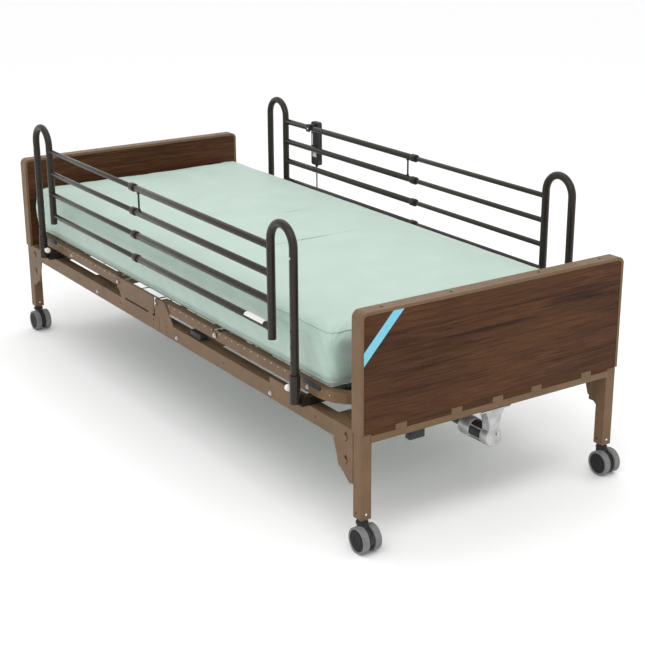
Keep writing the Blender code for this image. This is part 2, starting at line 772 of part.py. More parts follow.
def actuator(label, x, anchor_y, lever_pin, swing, slide):
    """A linear actuator at rest: housing with motor on one carrier, rod and yoke on another."""
    anchor = Vector((x, anchor_y, ANCHOR_Z))
    reach = Vector((lever_pin[0] - anchor_y, lever_pin[1] - ANCHOR_Z))
    length = reach.length
    tube_end = length - 0.150

    housing = [
        rod((0, 0), "X", -0.0090, 0.0090, 0.013, 12),
        box((-0.0090, 0.004, -0.010), (0.0090, 0.030, 0.010)),
        box((-0.030, 0.024, -0.056), (0.030, 0.130, 0.024)),
        rod((0, 0), "Y", 0.120, tube_end, 0.017, 12),
        rod((0, -0.034), "Y", 0.110, 0.190, 0.021, 12),
    ]
    made = weld(housing)
    made = cut(made, [
        rod((0, 0), "X", -0.020, 0.020, 0.0054, 10),
        rod((0, 0), "Y", 0.160, tube_end + 0.010, 0.0107, 12),
    ])
    along_actuator(made, anchor, reach)
    finish(label + "_actuator", made, BLACK_PLASTIC, swing)

    pieces = [
        rod((0, 0), "Y", 0.170, length - 0.030, 0.010, 12),
        box((-0.0115, length - 0.034, -0.014), (0.0115, length - 0.022, 0.014)),
    ]
    for side in (-1, 1):
        low, high = span(0.0065, 0.0110, side)
        outline = [(length - 0.030, 0.014), (length - 0.030, -0.014)]
        outline += arc((length, 0), 0.018, 250, 470, 8)
        pieces.append(prism(outline, "X", low, high))
    made = cut(weld(pieces), [rod((length, 0), "X", -0.020, 0.020, 0.0130, 14)])
    along_actuator(made, anchor, reach)
    finish(label + "_push_rod", made, ZINC, slide)


def neck(end):
    """Flange under the board's channel and the casting that hangs from it."""
    middle = end * BOARD_Y
    flange = box((-0.053, middle - 0.020, CHANNEL_BOTTOM - 0.006), (0.053, middle + 0.020, CHANNEL_BOTTOM - GAP))
    outline = [(-0.026, 0.306), (0.026, 0.306), (0.018, 0.285), (0.020, MOTOR_Z), (-0.020, MOTOR_Z), (-0.022, 0.285)]
    return [flange, prism(outline, "Y", middle - 0.016, middle + 0.016)]


def hi_lo_motor():
    """Height motor: flange, neck and a long cylinder along the bed."""
    pieces = neck(-1)
    pieces.append(rod((0, MOTOR_Z), "Y", -BOARD_Y - 0.012, -BOARD_Y + 0.112, MOTOR_RADIUS, 20))
    pieces.append(rod((0, MOTOR_Z), "Y", -BOARD_Y - 0.016, -BOARD_Y - 0.010, MOTOR_RADIUS - 0.004, 16))
    return finish("hi_lo_motor", weld(pieces), CAST)


def head_gearbox():
    pieces = neck(1)
    pieces.append(rod((0, MOTOR_Z), "Y", BOARD_Y - 0.024, BOARD_Y + 0.014, MOTOR_RADIUS, 16))
    return finish("head_gearbox", weld(pieces), CAST)


def drive_shaft(carrier):
    """The long shaft that carries the motor's turn to the gearbox at the head."""
    start, end = -BOARD_Y + 0.112 + GAP, BOARD_Y - 0.024 - GAP
    pieces = [rod((0, MOTOR_Z), "Y", start, end, 0.009, 10)]
    pieces.append(rod((0, MOTOR_Z), "Y", start, start + 0.070, 0.014, 12))
    pieces.append(rod((0, MOTOR_Z), "Y", end - 0.050, end, 0.014, 12))
    pieces.append(rod((0, MOTOR_Z), "Y", -0.100, 0.300, 0.0115, 10))
    return finish("drive_shaft", weld(pieces), GREEN, carrier)


def control_box():
    """Box of electronics under the foot half's middle cross member."""
    low, high = (0.210, -0.300, 0.236), (0.370, -0.130, 0.2962)
    pieces = [box(low, high)]
    pieces.append(box((0.230, -0.304, 0.246), (0.262, -0.296, 0.272)))
    pieces.append(rod((CONTROL_GLAND[0], CONTROL_GLAND[2]), "Y", -0.134, CONTROL_GLAND[1], 0.007, 10))
    return finish("control_box", weld(pieces), BLACK_PLASTIC)


# ---------------------------------------------------------------- side rails


def hoop(side, way):
    """The inverted U at one end of a side rail. way points to the bed end that it stands at."""
    x, middle = side * SIDE_X, way * HOOP_Y
    points = [(x, middle - way * HOOP_RADIUS, SHORT_LEG_BOTTOM)]
    for step in range(11):
        turn = math.pi * step / 10
        y = middle - way * HOOP_RADIUS * math.cos(turn)
        points.append((x, y, HOOP_TOP + HOOP_RADIUS * math.sin(turn)))
    points.append((x, middle + way * HOOP_RADIUS, LONG_LEG_BOTTOM))
    return bent_tube(points, HOOP_TUBE)


def rail_thick(name, side, carrier):
    """Outer half of a side rail: hoop, four open-ended bars with collars, and the tie rod."""
    x = side * SIDE_X
    pieces = [hoop(side, side)]
    for height in BAR_Z:
        start, end = span(-COLLAR_Y, HOOP_Y - HOOP_RADIUS, side)
        pieces.append(rod((x, height), "Y", start, end, THICK_BAR, 10))
        start, end = span(-COLLAR_Y - 0.004, -COLLAR_Y + 0.020, side)
        pieces.append(rod((x, height), "Y", start, end, THICK_BAR + 0.0028, 12))
    tie = (x, side * -0.046)
    pieces.append(rod(tie, "Z", BAR_Z[1] + 0.0096, BAR_Z[0] - 0.0096, 0.003, 8))
    bores = []
    for height in BAR_Z:
        start, end = span(-COLLAR_Y - 0.010, BORE_END, side)
        bores.append(rod((x, height), "Y", start, end, THICK_BORE, 12))
    return finish(name, cut(weld(pieces), bores), BLACK_STEEL, carrier)


def rail_thin(name, side, carrier):
    """Inner half of a side rail: hoop and four bars that slide in the thick ones."""
    x = side * SIDE_X
    pieces = [hoop(side, -side)]
    for height in BAR_Z:
        start, end = span(-THIN_END, -HOOP_Y + HOOP_RADIUS, side)
        pieces.append(rod((x, height), "Y", start, end, THIN_BAR, 12))
    return finish(name, weld(pieces), BLACK_STEEL, carrier)


def rail_mount(name, end, carrier=None):
    """The crossbar over the frame with a socket at each side for the rails' long legs."""
    middle = end * (HOOP_Y + HOOP_RADIUS)
    low, high = middle - 0.0125, middle + 0.0125
    pieces = [box((-0.4785, low, CROSSBAR_Z[0]), (0.4785, high, CROSSBAR_Z[1]))]
    for side in (-1, 1):
        pieces.append(rod((side * SIDE_X, middle), "Z", *SOCKET_Z, SOCKET_TUBE, 16))
    made = weld(pieces)
    cutters = [box((-0.460, low + 0.003, 0.335), (0.460, high - 0.003, CROSSBAR_Z[1] - 0.003))]
    for side in (-1, 1):
        cutters.append(rod((side * SIDE_X, middle), "Z", 0.340, 0.450, 0.0126, 16))
    return finish(name, cut(made, cutters), BLACK_STEEL, carrier)


def release_knob(name, side, end, carrier):
    """The white plunger on the middle side of a socket."""
    y = end * (HOOP_Y + HOOP_RADIUS - SOCKET_TUBE - GAP)
    centre = (side * SIDE_X, 0.386)
    start, stop = sorted((y, y - end * 0.012))
    stem = rod(centre, "Y", start, stop, 0.005, 10)
    start, stop = sorted((y - end * 0.010, y - end * 0.026))
    head = rod(centre, "Y", start, stop, 0.0095, 14)
    return finish(name, weld([stem, head]), WHITE_PLASTIC, carrier)


# ---------------------------------------------------------------- hand control


BUTTON_ROWS = (0.752, 0.724, 0.696)
BUTTON_COLUMNS = (0.5545, 0.5775)
BUTTON_NAMES = (("back_up", "back_down"), ("knee_up", "knee_down"), ("bed_up", "bed_down"))


def pendant(carrier):
    """Housing outside the rail with button wells, and its hook over the rail's top bar."""
    (x0, x1), (y0, y1), (z0, z1) = PENDANT_X, PENDANT_Y, PENDANT_Z
    radius = 0.020
    outline = arc((y1 - radius, z0 + radius), radius, -90, 0, 5)
    outline += [(y1, z1 - 0.005), (y1 - 0.005, z1), (y0 + 0.005, z1), (y0, z1 - 0.005)]
    outline += arc((y0 + radius, z0 + radius), radius, 180, 270, 5)
    pieces = [prism(outline, "X", x0, x1)]
    over, lip = BAR_Z[0] + THICK_BAR + 0.0007, SIDE_X - THICK_BAR - 0.0007
    top, inner = over + 0.0035, lip - 0.0035
    hook = [(x0 + 0.002, top), (inner, top), (inner, 0.756), (lip, 0.756), (lip, over), (x0 + 0.002, over)]
    pieces.append(prism(hook, "Y", y0 + 0.006, y1 - 0.004))
    made = weld(pieces)
    wells = []
    for z in BUTTON_ROWS:
        for y in BUTTON_COLUMNS:
            wells.append(box((x1 - 0.0035, y - 0.0085, z - 0.0095), (x1 + 0.002, y + 0.0085, z + 0.0095)))
    finish("pendant_housing", cut(made, wells), BLACK_PLASTIC, carrier)


def pendant_button(label, y, z, carrier):
    x = PENDANT_X[1]
    made = box((x - 0.0018, y - 0.0077, z - 0.0087), (x + BUTTON_PROUD, y + 0.0077, z + 0.0087))
    return finish("button_" + label, made, BUTTON_GREY, carrier)


# The cord's route: down outside the rail, in over the top of the frame's side rail, along
# that rail towards the foot, and in one hanging loop to the gland of the control box.
CONTROL_GLAND = (0.330, -0.118, 0.262)
CORD_ROUTE = (
    (0.5180, 0.5660, PENDANT_Z[0] - GAP),
    (0.5180, 0.5660, 0.5900),
    (0.5180, 0.5655, 0.5550),
    (0.5165, 0.5640, 0.5150),
    (0.5120, 0.5610, 0.4750),
    (0.5030, 0.5560, 0.4350),
    (0.4900, 0.5480, 0.4000),
    (0.4740, 0.5360, 0.3700),
    (0.4570, 0.5200, 0.3490),
    (0.4420, 0.4960, 0.3442),
    (0.4345, 0.4550, 0.3440),
    (0.4320, 0.4000, 0.3440),
    (0.4330, 0.3000, 0.3440),
    (0.4325, 0.2000, 0.3440),
    (0.4330, 0.1200, 0.3440),
    (0.4300, 0.0700, 0.3445),
    (0.4200, 0.0440, 0.3446),
    (0.4110, 0.0250, 0.3440),
    (0.4050, 0.0110, 0.3300),
    (0.4015, 0.0020, 0.2950),
    (0.3960, -0.0010, 0.2300),
    (0.3860, 0.0150, 0.1650),
    (0.3700, 0.0500, 0.1300),
    (0.3520, 0.0820, 0.1450),
    (0.3400, 0.0850, 0.1900),
    (0.3330, 0.0540, 0.2340),
    (0.3300, -0.0050, 0.2560),
    (0.3300, -0.0650, 0.2615),
    (0.3300, CONTROL_GLAND[1] + GAP, 0.2620),
)


def smooth_route(route, spacing):
    """Evenly spaced points on a smooth curve through the route's points."""
    dense = []
    for index in range(len(route) - 1):
        before = Vector(route[max(index - 1, 0)])
        here, there = Vector(route[index]), Vector(route[index + 1])
        after = Vector(route[min(index + 2, len(route) - 1)])
        for step in range(20):
            t = step / 20
            tangent_in, tangent_out = (there - before) / 2, (after - here) / 2
            a = 2 * t**3 - 3 * t**2 + 1
            b = t**3 - 2 * t**2 + t
            c = -2 * t**3 + 3 * t**2
            d = t**3 - t**2
            dense.append(a * here + b * tangent_in + c * there + d * tangent_out)
    dense.append(Vector(route[-1]))
    total = sum((q - p).length for p, q in zip(dense, dense[1:]))
    count = round(total / spacing)
    wanted = [total * index / count for index in range(count + 1)]
    points, walked = [dense[0]], 0.0
    for p, q in zip(dense, dense[1:]):
        length = (q - p).length
        while len(points) < count and walked + length >= wanted[len(points)]:
            points.append(p.lerp(q, (wanted[len(points)] - walked) / length))
        walked += length
    points.append(dense[-1])
    return points, total


def pendant_cord(carrier):
    points, total = smooth_route(CORD_ROUTE, 0.022)
    curve = bpy.data.curves.new("pendant_cord", "CURVE")
    curve.dimensions = "3D"
    spline = curve.splines.new("POLY")
    spline.points.add(len(points) - 1)
    for target, point in zip(spline.points, points):
        target.co = (*point, 1)
    curve.bevel_depth = CORD_RADIUS
    curve.bevel_resolution = 2
    curve.use_fill_caps = True
    curve.materials.append(material(CORD_RUBBER))
    cord = bpy.data.objects.new("pendant_cord", curve)
    bpy.context.collection.objects.link(cord)
    cord.parent = carrier
    cord.location = -Vector(carrier["place"])
    print(f"pendant cord: {total:.3f} m, {len(points)} points")
    return cord


# ---------------------------------------------------------------- the whole bed


def bed_end(label, end):
    board_frame(label + "board_frame", end)
    board_panel(label + "board_panel", end)
    lift = frame_empty(label + "_lift", (0, end * BOARD_Y, POST_BOTTOM), BED)
    leg_carriage(label + "_leg_carriage", end, lift)
    screw = frame_empty(label + "_screw_axis", (0, end * BOARD_Y, CHANNEL_BOTTOM), BED)
    lift_screw(label + "_lift_screw", end, screw)
    for side, hand in ((-1, "near"), (1, "far")):
        x, y = side * LEG_X, end * BOARD_Y
        name = f"caster_{label}_{hand}"
        swivel = frame_empty(name + "_swivel", (x, y, POST_BOTTOM), lift)
        caster_fork(name + "_fork", x, y, swivel)
        axle = frame_empty(name + "_axle", (x, y - TRAIL, WHEEL_RADIUS), swivel)
        caster_wheels(name + "_wheels", x, y, axle)
        if side == end:
            hinge = frame_empty(name + "_brake_axis", (x, y - TRAIL - 0.0245, WHEEL_RADIUS + 0.019), swivel)
            caster_brake(name + "_brake", x, y, hinge)


def deck():
    back = frame_empty("back_hinge", (0, BACK_PIVOT, PIVOT_Z), BED)
    thigh = frame_empty("thigh_hinge", (0, THIGH_PIVOT, PIVOT_Z), BED)
    calf = frame_empty("knee_hinge", (0, KNEE_PIVOT, PIVOT_Z), thigh)
    back_frame(back)
    thigh_frame(thigh)
    calf_frame(calf)
    link_springs("back_springs", (0.345, 0.989), 5, 4, back)
    link_springs("seat_springs", (0.045, 0.300), 5, 2, half_width=0.4400)
    link_springs("thigh_springs", (-0.330, 0.010), 5, 2, thigh)
    link_springs("calf_springs", (-0.973, -0.372), 5, 4, calf)
    mattress(back, thigh, calf)


def drives():
    for label, x, y, pin in (
        ("back", BACK_ACTUATOR_X, BACK_ANCHOR, BACK_LEVER),
        ("thigh", THIGH_ACTUATOR_X, THIGH_ANCHOR, THIGH_LEVER),
    ):
        swing = frame_empty(label + "_actuator_pivot", (x, y, ANCHOR_Z), BED)
        slide = frame_empty(label + "_push_rod_slide", (x, y, ANCHOR_Z), swing)
        actuator(label, x, y, pin, swing, slide)
    hi_lo_motor()
    head_gearbox()
    drive_shaft(frame_empty("drive_shaft_axis", (0, 0, MOTOR_Z), BED))
    control_box()


def side_rails():
    foot_slide = frame_empty("foot_mount_slide", (0, -HOOP_Y - HOOP_RADIUS, CROSSBAR_Z[0]), BED)
    rail_mount("rail_mount_head", 1)
    rail_mount("rail_mount_foot", -1, foot_slide)
    for side, hand in ((-1, "near"), (1, "far")):
        head_carrier, foot_carrier = BED, foot_slide
        thick_on = head_carrier if side > 0 else foot_carrier
        thin_on = foot_carrier if side > 0 else head_carrier
        leg = HOOP_Y + HOOP_RADIUS
        thick = frame_empty(hand + "_thick_drop", (side * SIDE_X, side * leg, LONG_LEG_BOTTOM), thick_on)
        thin = frame_empty(hand + "_thin_drop", (side * SIDE_X, -side * leg, LONG_LEG_BOTTOM), thin_on)
        rail_thick(hand + "_rail_thick", side, thick)
        rail_thin(hand + "_rail_thin", side, thin)
        for end, label, carrier in ((1, "head", head_carrier), (-1, "foot", foot_carrier)):
            name = f"release_knob_{label}_{hand}"
            pull = frame_empty(name + "_pull", (side * SIDE_X, end * leg, 0.386), carrier)
            release_knob(name, side, end, pull)
        if side > 0:
            hand_control(thick)


def hand_control(carrier):
    pendant(carrier)
    for z, labels in zip(BUTTON_ROWS, BUTTON_NAMES):
        for y, label in zip(BUTTON_COLUMNS, labels):
            press = frame_empty("press_" + label, (PENDANT_X[1], y, z), carrier)
            pendant_button(label, y, z, press)
    pendant_cord(BED)


bed_end("head", 1)
bed_end("foot", -1)
frame_half_head()
frame_half_foot()
deck()
drives()
side_rails()
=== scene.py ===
# %% [markdown]
# # An adjustable hospital bed
#
# A homecare bed with a hinged back, thigh and calf section, telescoping legs
# on twin casters, drop-down side rails and a hand control on a cord.
# The steel parts come from the CAD model; this lesson models what the eye
# dwells on, and gives every surface its finish.

import math

import bpy
import numpy as np
from mathutils import Matrix, Vector


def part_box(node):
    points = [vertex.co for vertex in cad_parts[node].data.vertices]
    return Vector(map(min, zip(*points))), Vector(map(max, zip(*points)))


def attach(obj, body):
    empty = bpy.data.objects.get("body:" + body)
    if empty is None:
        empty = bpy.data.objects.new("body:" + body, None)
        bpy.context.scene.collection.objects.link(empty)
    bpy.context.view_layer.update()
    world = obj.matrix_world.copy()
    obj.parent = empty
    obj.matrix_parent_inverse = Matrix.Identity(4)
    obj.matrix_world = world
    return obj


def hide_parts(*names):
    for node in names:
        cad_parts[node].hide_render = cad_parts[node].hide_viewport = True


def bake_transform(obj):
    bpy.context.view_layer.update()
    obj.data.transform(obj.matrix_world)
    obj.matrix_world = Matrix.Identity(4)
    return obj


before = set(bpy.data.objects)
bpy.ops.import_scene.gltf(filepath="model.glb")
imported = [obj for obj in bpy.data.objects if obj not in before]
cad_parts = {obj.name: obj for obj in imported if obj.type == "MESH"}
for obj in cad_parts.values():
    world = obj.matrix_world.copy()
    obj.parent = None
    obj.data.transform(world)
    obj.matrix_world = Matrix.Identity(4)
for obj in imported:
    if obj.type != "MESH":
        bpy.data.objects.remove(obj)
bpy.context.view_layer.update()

HEAD_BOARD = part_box("headboard_frame")
FOOT_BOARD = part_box("footboard_frame")
MID_X = (HEAD_BOARD[0][0] + HEAD_BOARD[1][0]) / 2
MID_Y = (HEAD_BOARD[1][1] + FOOT_BOARD[0][1]) / 2
print("middle of the bed", round(MID_X, 4), round(MID_Y, 4))


def at(x, y, z):
    """A point measured from the middle of the bed, put in the shared frame."""
    return Vector((x + MID_X, y + MID_Y, z))


# %% [markdown]
# ## Camera
#
# The camera stands off the foot corner, a little above the rails, and looks
# down the bed. Its axes are written out as a matrix, because a small roll is
# easier to state that way than with three angles.

# %% Camera
YAW, PITCH, ROLL = math.radians(33.50), math.radians(18.93), math.radians(-0.29)

forward = Vector(
    (math.sin(YAW) * math.cos(PITCH), math.cos(YAW) * math.cos(PITCH), -math.sin(PITCH))
)
right = forward.cross(Vector((0, 0, 1))).normalized()
up = right.cross(forward)
right, up = (
    right * math.cos(ROLL) + up * math.sin(ROLL),
    up * math.cos(ROLL) - right * math.sin(ROLL),
)

bpy.ops.object.select_all(action="DESELECT")
bpy.ops.object.camera_add()
camera = bpy.context.object
camera.name = "camera"
camera.data.lens = 77.70
camera.data.sensor_width = 36
turn = Matrix((right, up, -forward)).transposed().to_4x4()
camera.matrix_world = Matrix.Translation(at(-2.3601, -3.8166, 1.7827)) @ turn
bpy.context.scene.camera = camera
print("camera at", [round(c, 3) for c in camera.matrix_world.translation])

# %% [markdown]
# ## Finishes
#
# Each finish starts from one Principled shader. Small helpers add the three
# things that make a surface real: colour that wanders, gloss that varies and
# a fine bump. All patterns read Object coordinates, which are metres here, so
# a grain of half a millimetre is a scale of about 2000.

# %% Helpers for finishes
finishes = {}


def new_finish(name, colour, roughness, metallic=0.0):
    """A material with one Principled shader; returns it with its nodes."""
    made = bpy.data.materials.new(name)
    made.use_nodes = True
    shader = made.node_tree.nodes["Principled BSDF"]
    shader.inputs["Base Color"].default_value = (*colour, 1)
    shader.inputs["Roughness"].default_value = roughness
    shader.inputs["Metallic"].default_value = metallic
    finishes[name] = made
    return made, made.node_tree, shader


def pattern_space(tree, stretch=(1, 1, 1)):
    """Object coordinates, squeezed along each axis by a Mapping node."""
    source = tree.nodes.new("ShaderNodeTexCoord")
    mapping = tree.nodes.new("ShaderNodeMapping")
    mapping.inputs["Scale"].default_value = stretch
    tree.links.new(source.outputs["Object"], mapping.inputs["Vector"])
    return mapping.outputs["Vector"]


def noise(tree, space, scale, detail=3, rough=0.55):
    made = tree.nodes.new("ShaderNodeTexNoise")
    made.inputs["Scale"].default_value = scale
    made.inputs["Detail"].default_value = detail
    made.inputs["Roughness"].default_value = rough
    tree.links.new(space, made.inputs["Vector"])
    return made.outputs["Fac"]


def ramp(tree, value, stops):
    """A colour ramp; stops are (place, colour) pairs."""
    made = tree.nodes.new("ShaderNodeValToRGB")
    bar = made.color_ramp
    while len(bar.elements) < len(stops):
        bar.elements.new(0.5)
    for element, (place, colour) in zip(bar.elements, stops):
        element.position = place
        element.color = (*colour, 1)
    tree.links.new(value, made.inputs["Fac"])
    return made.outputs["Color"]


def spread(tree, value, low, high):
    """Maps a noise's usual range, 0.3 to 0.7, to low and high."""
    made = tree.nodes.new("ShaderNodeMapRange")
    made.inputs["From Min"].default_value = 0.3
    made.inputs["From Max"].default_value = 0.7
    made.inputs["To Min"].default_value = low
    made.inputs["To Max"].default_value = high
    tree.links.new(value, made.inputs["Value"])
    return made.outputs["Result"]


def blend_colours(tree, amount, first, second, mode="MIX"):
    made = tree.nodes.new("ShaderNodeMix")
    made.data_type = "RGBA"
    made.blend_type = mode
    items = ((made.inputs[0], amount), (made.inputs[6], first), (made.inputs[7], second))
    for socket, item in items:
        if isinstance(item, bpy.types.NodeSocket):
            tree.links.new(item, socket)
        elif isinstance(item, (int, float)):
            socket.default_value = item
        else:
            socket.default_value = (*item, 1)
    return made.outputs[2]


def bump(tree, shader, height, strength, distance, below=None):
    made = tree.nodes.new("ShaderNodeBump")
    made.inputs["Strength"].default_value = strength
    made.inputs["Distance"].default_value = distance
    tree.links.new(height, made.inputs["Height"])
    if below:
        tree.links.new(below, made.inputs["Normal"])
    tree.links.new(made.outputs["Normal"], shader.inputs["Normal"])
    return made.outputs["Normal"]


def tint(colour, factor):
    return tuple(min(1, c * factor) for c in colour)


# %% [markdown]
# ### Powder coats and enamels
#
# Powder coat levels into a soft orange peel about a millimetre across. Its
# colour is even, so only a faint cloudiness and some rubbed, duller patches
# are added. One recipe makes the brown frame, the dark rails and the green
# motor housing.

# %% Powder coats and enamels
def powder_coat(name, colour, roughness, peel, coat=0.0, shine=0.3):
    made, tree, shader = new_finish(name, colour, roughness)
    space = pattern_space(tree)
    clouds = noise(tree, space, 14, 4)
    tones = [(0.32, tint(colour, 0.88)), (0.68, tint(colour, 1.10))]
    tree.links.new(ramp(tree, clouds, tones), shader.inputs["Base Color"])
    rubbed = noise(tree, space, 45, 5, 0.7)
    gloss = spread(tree, rubbed, roughness - 0.06, roughness + 0.10)
    tree.links.new(gloss, shader.inputs["Roughness"])
    fine = bump(tree, shader, noise(tree, space, 900, 2), peel, 0.0003)
    bump(tree, shader, noise(tree, space, 90, 2), peel * 0.4, 0.001, below=fine)
    shader.inputs["Coat Weight"].default_value = coat
    shader.inputs["Coat Roughness"].default_value = 0.12
    shader.inputs["Specular IOR Level"].default_value = shine
    return made


BROWN = powder_coat("frame_enamel", (0.150, 0.089, 0.045), 0.42, 0.10, shine=0.22)
RAIL_BROWN = powder_coat("rail_enamel", (0.022, 0.017, 0.012), 0.27, 0.06, coat=0.12, shine=0.2)
GREEN = powder_coat("green_enamel", (0.010, 0.060, 0.048), 0.38, 0.12)

# %% [markdown]
# ### Walnut laminate
#
# The boards are faced with a printed laminate. The grain runs across the bed,
# so noise is stretched along X. A slow noise bends broad bands, a fast one
# gives pores, and the satin top coat keeps a faint grain in its gloss.

# %% Walnut laminate
WALNUT, tree, shader = new_finish("walnut_laminate", (0.072, 0.032, 0.015), 0.42)
drift = noise(tree, pattern_space(tree, (1.3, 3, 5)), 1.6, 3, 0.5)
bands = noise(tree, pattern_space(tree, (0.9, 9, 20)), 2.4, 5, 0.62)
broad = ramp(
    tree,
    bands,
    [
        (0.30, (0.030, 0.0110, 0.0048)),
        (0.42, (0.066, 0.0265, 0.0108)),
        (0.52, (0.090, 0.0380, 0.0150)),
        (0.60, (0.056, 0.0215, 0.0088)),
        (0.72, (0.102, 0.0450, 0.0190)),
    ],
)
tone = ramp(tree, drift, [(0.35, (0.78, 0.76, 0.74)), (0.65, (1.15, 1.12, 1.10))])
broad = blend_colours(tree, 1.0, broad, tone, "MULTIPLY")
pores = noise(tree, pattern_space(tree, (5, 90, 260)), 3.0, 3, 0.6)
grain = ramp(tree, pores, [(0.38, (0.50, 0.44, 0.40)), (0.52, (1, 1, 1))])
tree.links.new(blend_colours(tree, 0.8, broad, grain, "MULTIPLY"), shader.inputs["Base Color"])
tree.links.new(spread(tree, pores, 0.52, 0.40), shader.inputs["Roughness"])
bump(tree, shader, pores, 0.10, 0.0002)
shader.inputs["Specular IOR Level"].default_value = 0.12

# %% [markdown]
# ### Bare and plated metals
#
# Zinc plating is bright with a faint spangle and drawing marks. Die-cast
# aluminium is duller and pebbled, because it copies the skin of its mould.

# %% Zinc plate and die casting
ZINC, tree, shader = new_finish("zinc_plate", (0.60, 0.60, 0.585), 0.30, 1.0)
space = pattern_space(tree)
spangle = noise(tree, space, 120, 4, 0.65)
tree.links.new(
    ramp(tree, spangle, [(0.30, (0.44, 0.445, 0.44)), (0.70, (0.68, 0.675, 0.655))]),
    shader.inputs["Base Color"],
)
drawn = noise(tree, pattern_space(tree, (40, 40, 900)), 2, 3)
tree.links.new(spread(tree, drawn, 0.24, 0.40), shader.inputs["Roughness"])
bump(tree, shader, drawn, 0.08, 0.0002)

CAST, tree, shader = new_finish("die_cast", (0.58, 0.585, 0.59), 0.42, 0.9)
space = pattern_space(tree)
skin = noise(tree, space, 700, 3, 0.6)
patches = noise(tree, space, 30, 5, 0.6)
tree.links.new(
    ramp(tree, patches, [(0.3, (0.36, 0.37, 0.37)), (0.7, (0.55, 0.555, 0.55))]),
    shader.inputs["Base Color"],
)
tree.links.new(spread(tree, skin, 0.34, 0.52), shader.inputs["Roughness"])
bump(tree, shader, skin, 0.30, 0.0004)

# %% [markdown]
# ### Plastics and rubbers
#
# Moulded plastic carries a spark-eroded texture of about 0.3 mm. Rubber is
# duller and dustier: a pale noise sits in its colour. The same recipe is
# called with different numbers.

# %% Plastics and rubbers
def moulded(name, colour, roughness, grain, depth, dust=0.15, shine=0.22):
    made, tree, shader = new_finish(name, colour, roughness)
    space = pattern_space(tree)
    cloud = noise(tree, space, 60, 5, 0.65)
    dusty = tuple(c + (0.5 - c) * dust * 0.3 for c in colour)
    tree.links.new(
        ramp(tree, cloud, [(0.35, tint(colour, 0.88)), (0.72, dusty)]), shader.inputs["Base Color"]
    )
    gloss = spread(tree, cloud, roughness - 0.05, roughness + 0.09)
    tree.links.new(gloss, shader.inputs["Roughness"])
    bump(tree, shader, noise(tree, space, grain, 2), depth, 0.0003)
    shader.inputs["Specular IOR Level"].default_value = shine
    return made


BLACK_PLASTIC = moulded("black_plastic", (0.022, 0.022, 0.024), 0.42, 2600, 0.22)
WHITE_PLASTIC = moulded("white_plastic", (0.78, 0.78, 0.75), 0.34, 1800, 0.06, dust=0.05, shine=0.5)
TYRE = moulded("grey_tyre", (0.175, 0.177, 0.172), 0.62, 1500, 0.30, dust=0.4)
BUTTON_GREY = moulded("button_grey", (0.33, 0.35, 0.38), 0.55, 2200, 0.10)
CORD_RUBBER = moulded("cord_rubber", (0.026, 0.026, 0.027), 0.50, 2400, 0.14)
LABEL = moulded("white_label", (0.80, 0.80, 0.78), 0.50, 2400, 0.04, dust=0.05)
BLUE_LABEL = moulded("pale_blue_label", (0.20, 0.56, 0.70), 0.48, 2400, 0.04, dust=0.05)
# A near-black finish for holes and slots: painted shade of their insides, which are not cut into the meshes.
HOLE_SHADE = moulded("dark_recess", (0.008, 0.007, 0.006), 0.70, 1200, 0.10)

# %% [markdown]
# ### Mattress cover
#
# The cover is a coated nylon: a fine basket weave of about 0.7 mm, a slight
# sheen and a colour that is almost even. Two crossed waves make the weave.
# Larger folds are real geometry and come with the mattress itself.

# %% Mattress cover
COVER, tree, shader = new_finish("mattress_cover", (0.40, 0.53, 0.46), 0.52)
space = pattern_space(tree)
cloud = noise(tree, space, 9, 4, 0.6)
cover_tone = ramp(tree, cloud, [(0.30, (0.375, 0.500, 0.432)), (0.70, (0.425, 0.552, 0.482))])
threads = []
for axis in ("X", "Y"):
    wave = tree.nodes.new("ShaderNodeTexWave")
    wave.bands_direction = axis
    wave.inputs["Scale"].default_value = 220
    wave.inputs["Distortion"].default_value = 1.2
    wave.inputs["Detail"].default_value = 1
    tree.links.new(space, wave.inputs["Vector"])
    threads.append(wave.outputs["Fac"])
weave = tree.nodes.new("ShaderNodeMath")
weave.operation = "MULTIPLY"
tree.links.new(threads[0], weave.inputs[0])
tree.links.new(threads[1], weave.inputs[1])
woven = ramp(tree, weave.outputs[0], [(0.0, (0.93, 0.94, 0.935)), (0.5, (1, 1, 1))])
woven_tone = blend_colours(tree, 1.0, cover_tone, woven, "MULTIPLY")
tree.links.new(woven_tone, shader.inputs["Base Color"])
tree.links.new(spread(tree, cloud, 0.46, 0.60), shader.inputs["Roughness"])
thread_normal = bump(tree, shader, weave.outputs[0], 0.18, 0.0003)
bump(tree, shader, noise(tree, space, 26, 3, 0.5), 0.16, 0.004, below=thread_normal)
shader.inputs["Sheen Weight"].default_value = 0.25
shader.inputs["Sheen Roughness"].default_value = 0.5
print(len(finishes), "finishes")

# %% [markdown]
# ### Which CAD node wears which finish
#
# The nodes that stay as they are only need their material swapped. The names
# tell what each is made of.

# %% Dress the CAD nodes
COATS = (
    (WALNUT, ("headboard_panel", "footboard_panel")),
    (ZINC, ("_springs", "carriage", "lift_screw", "push_rod")),
    (RAIL_BROWN, ("rail_t", "rail_mount")),
    (CAST, ("hi_lo_motor", "head_gearbox")),
    (GREEN, ("drive_shaft",)),
    (WHITE_PLASTIC, ("release_knob",)),
    (TYRE, ("_wheels",)),
    (BUTTON_GREY, ("button_",)),
    (CORD_RUBBER, ("pendant_cord",)),
    (COVER, ("mattress",)),
    (BROWN, ("board_frame", "frame_head", "frame_foot", "back_frame", "thigh_frame", "calf_frame")),
    (BLACK_PLASTIC, ("",)),
)
for name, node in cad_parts.items():
    look = next(look for look, parts in COATS if any(part in name for part in parts))
    node.data.materials.clear()
    node.data.materials.append(look)
print("dressed", len(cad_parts), "nodes")


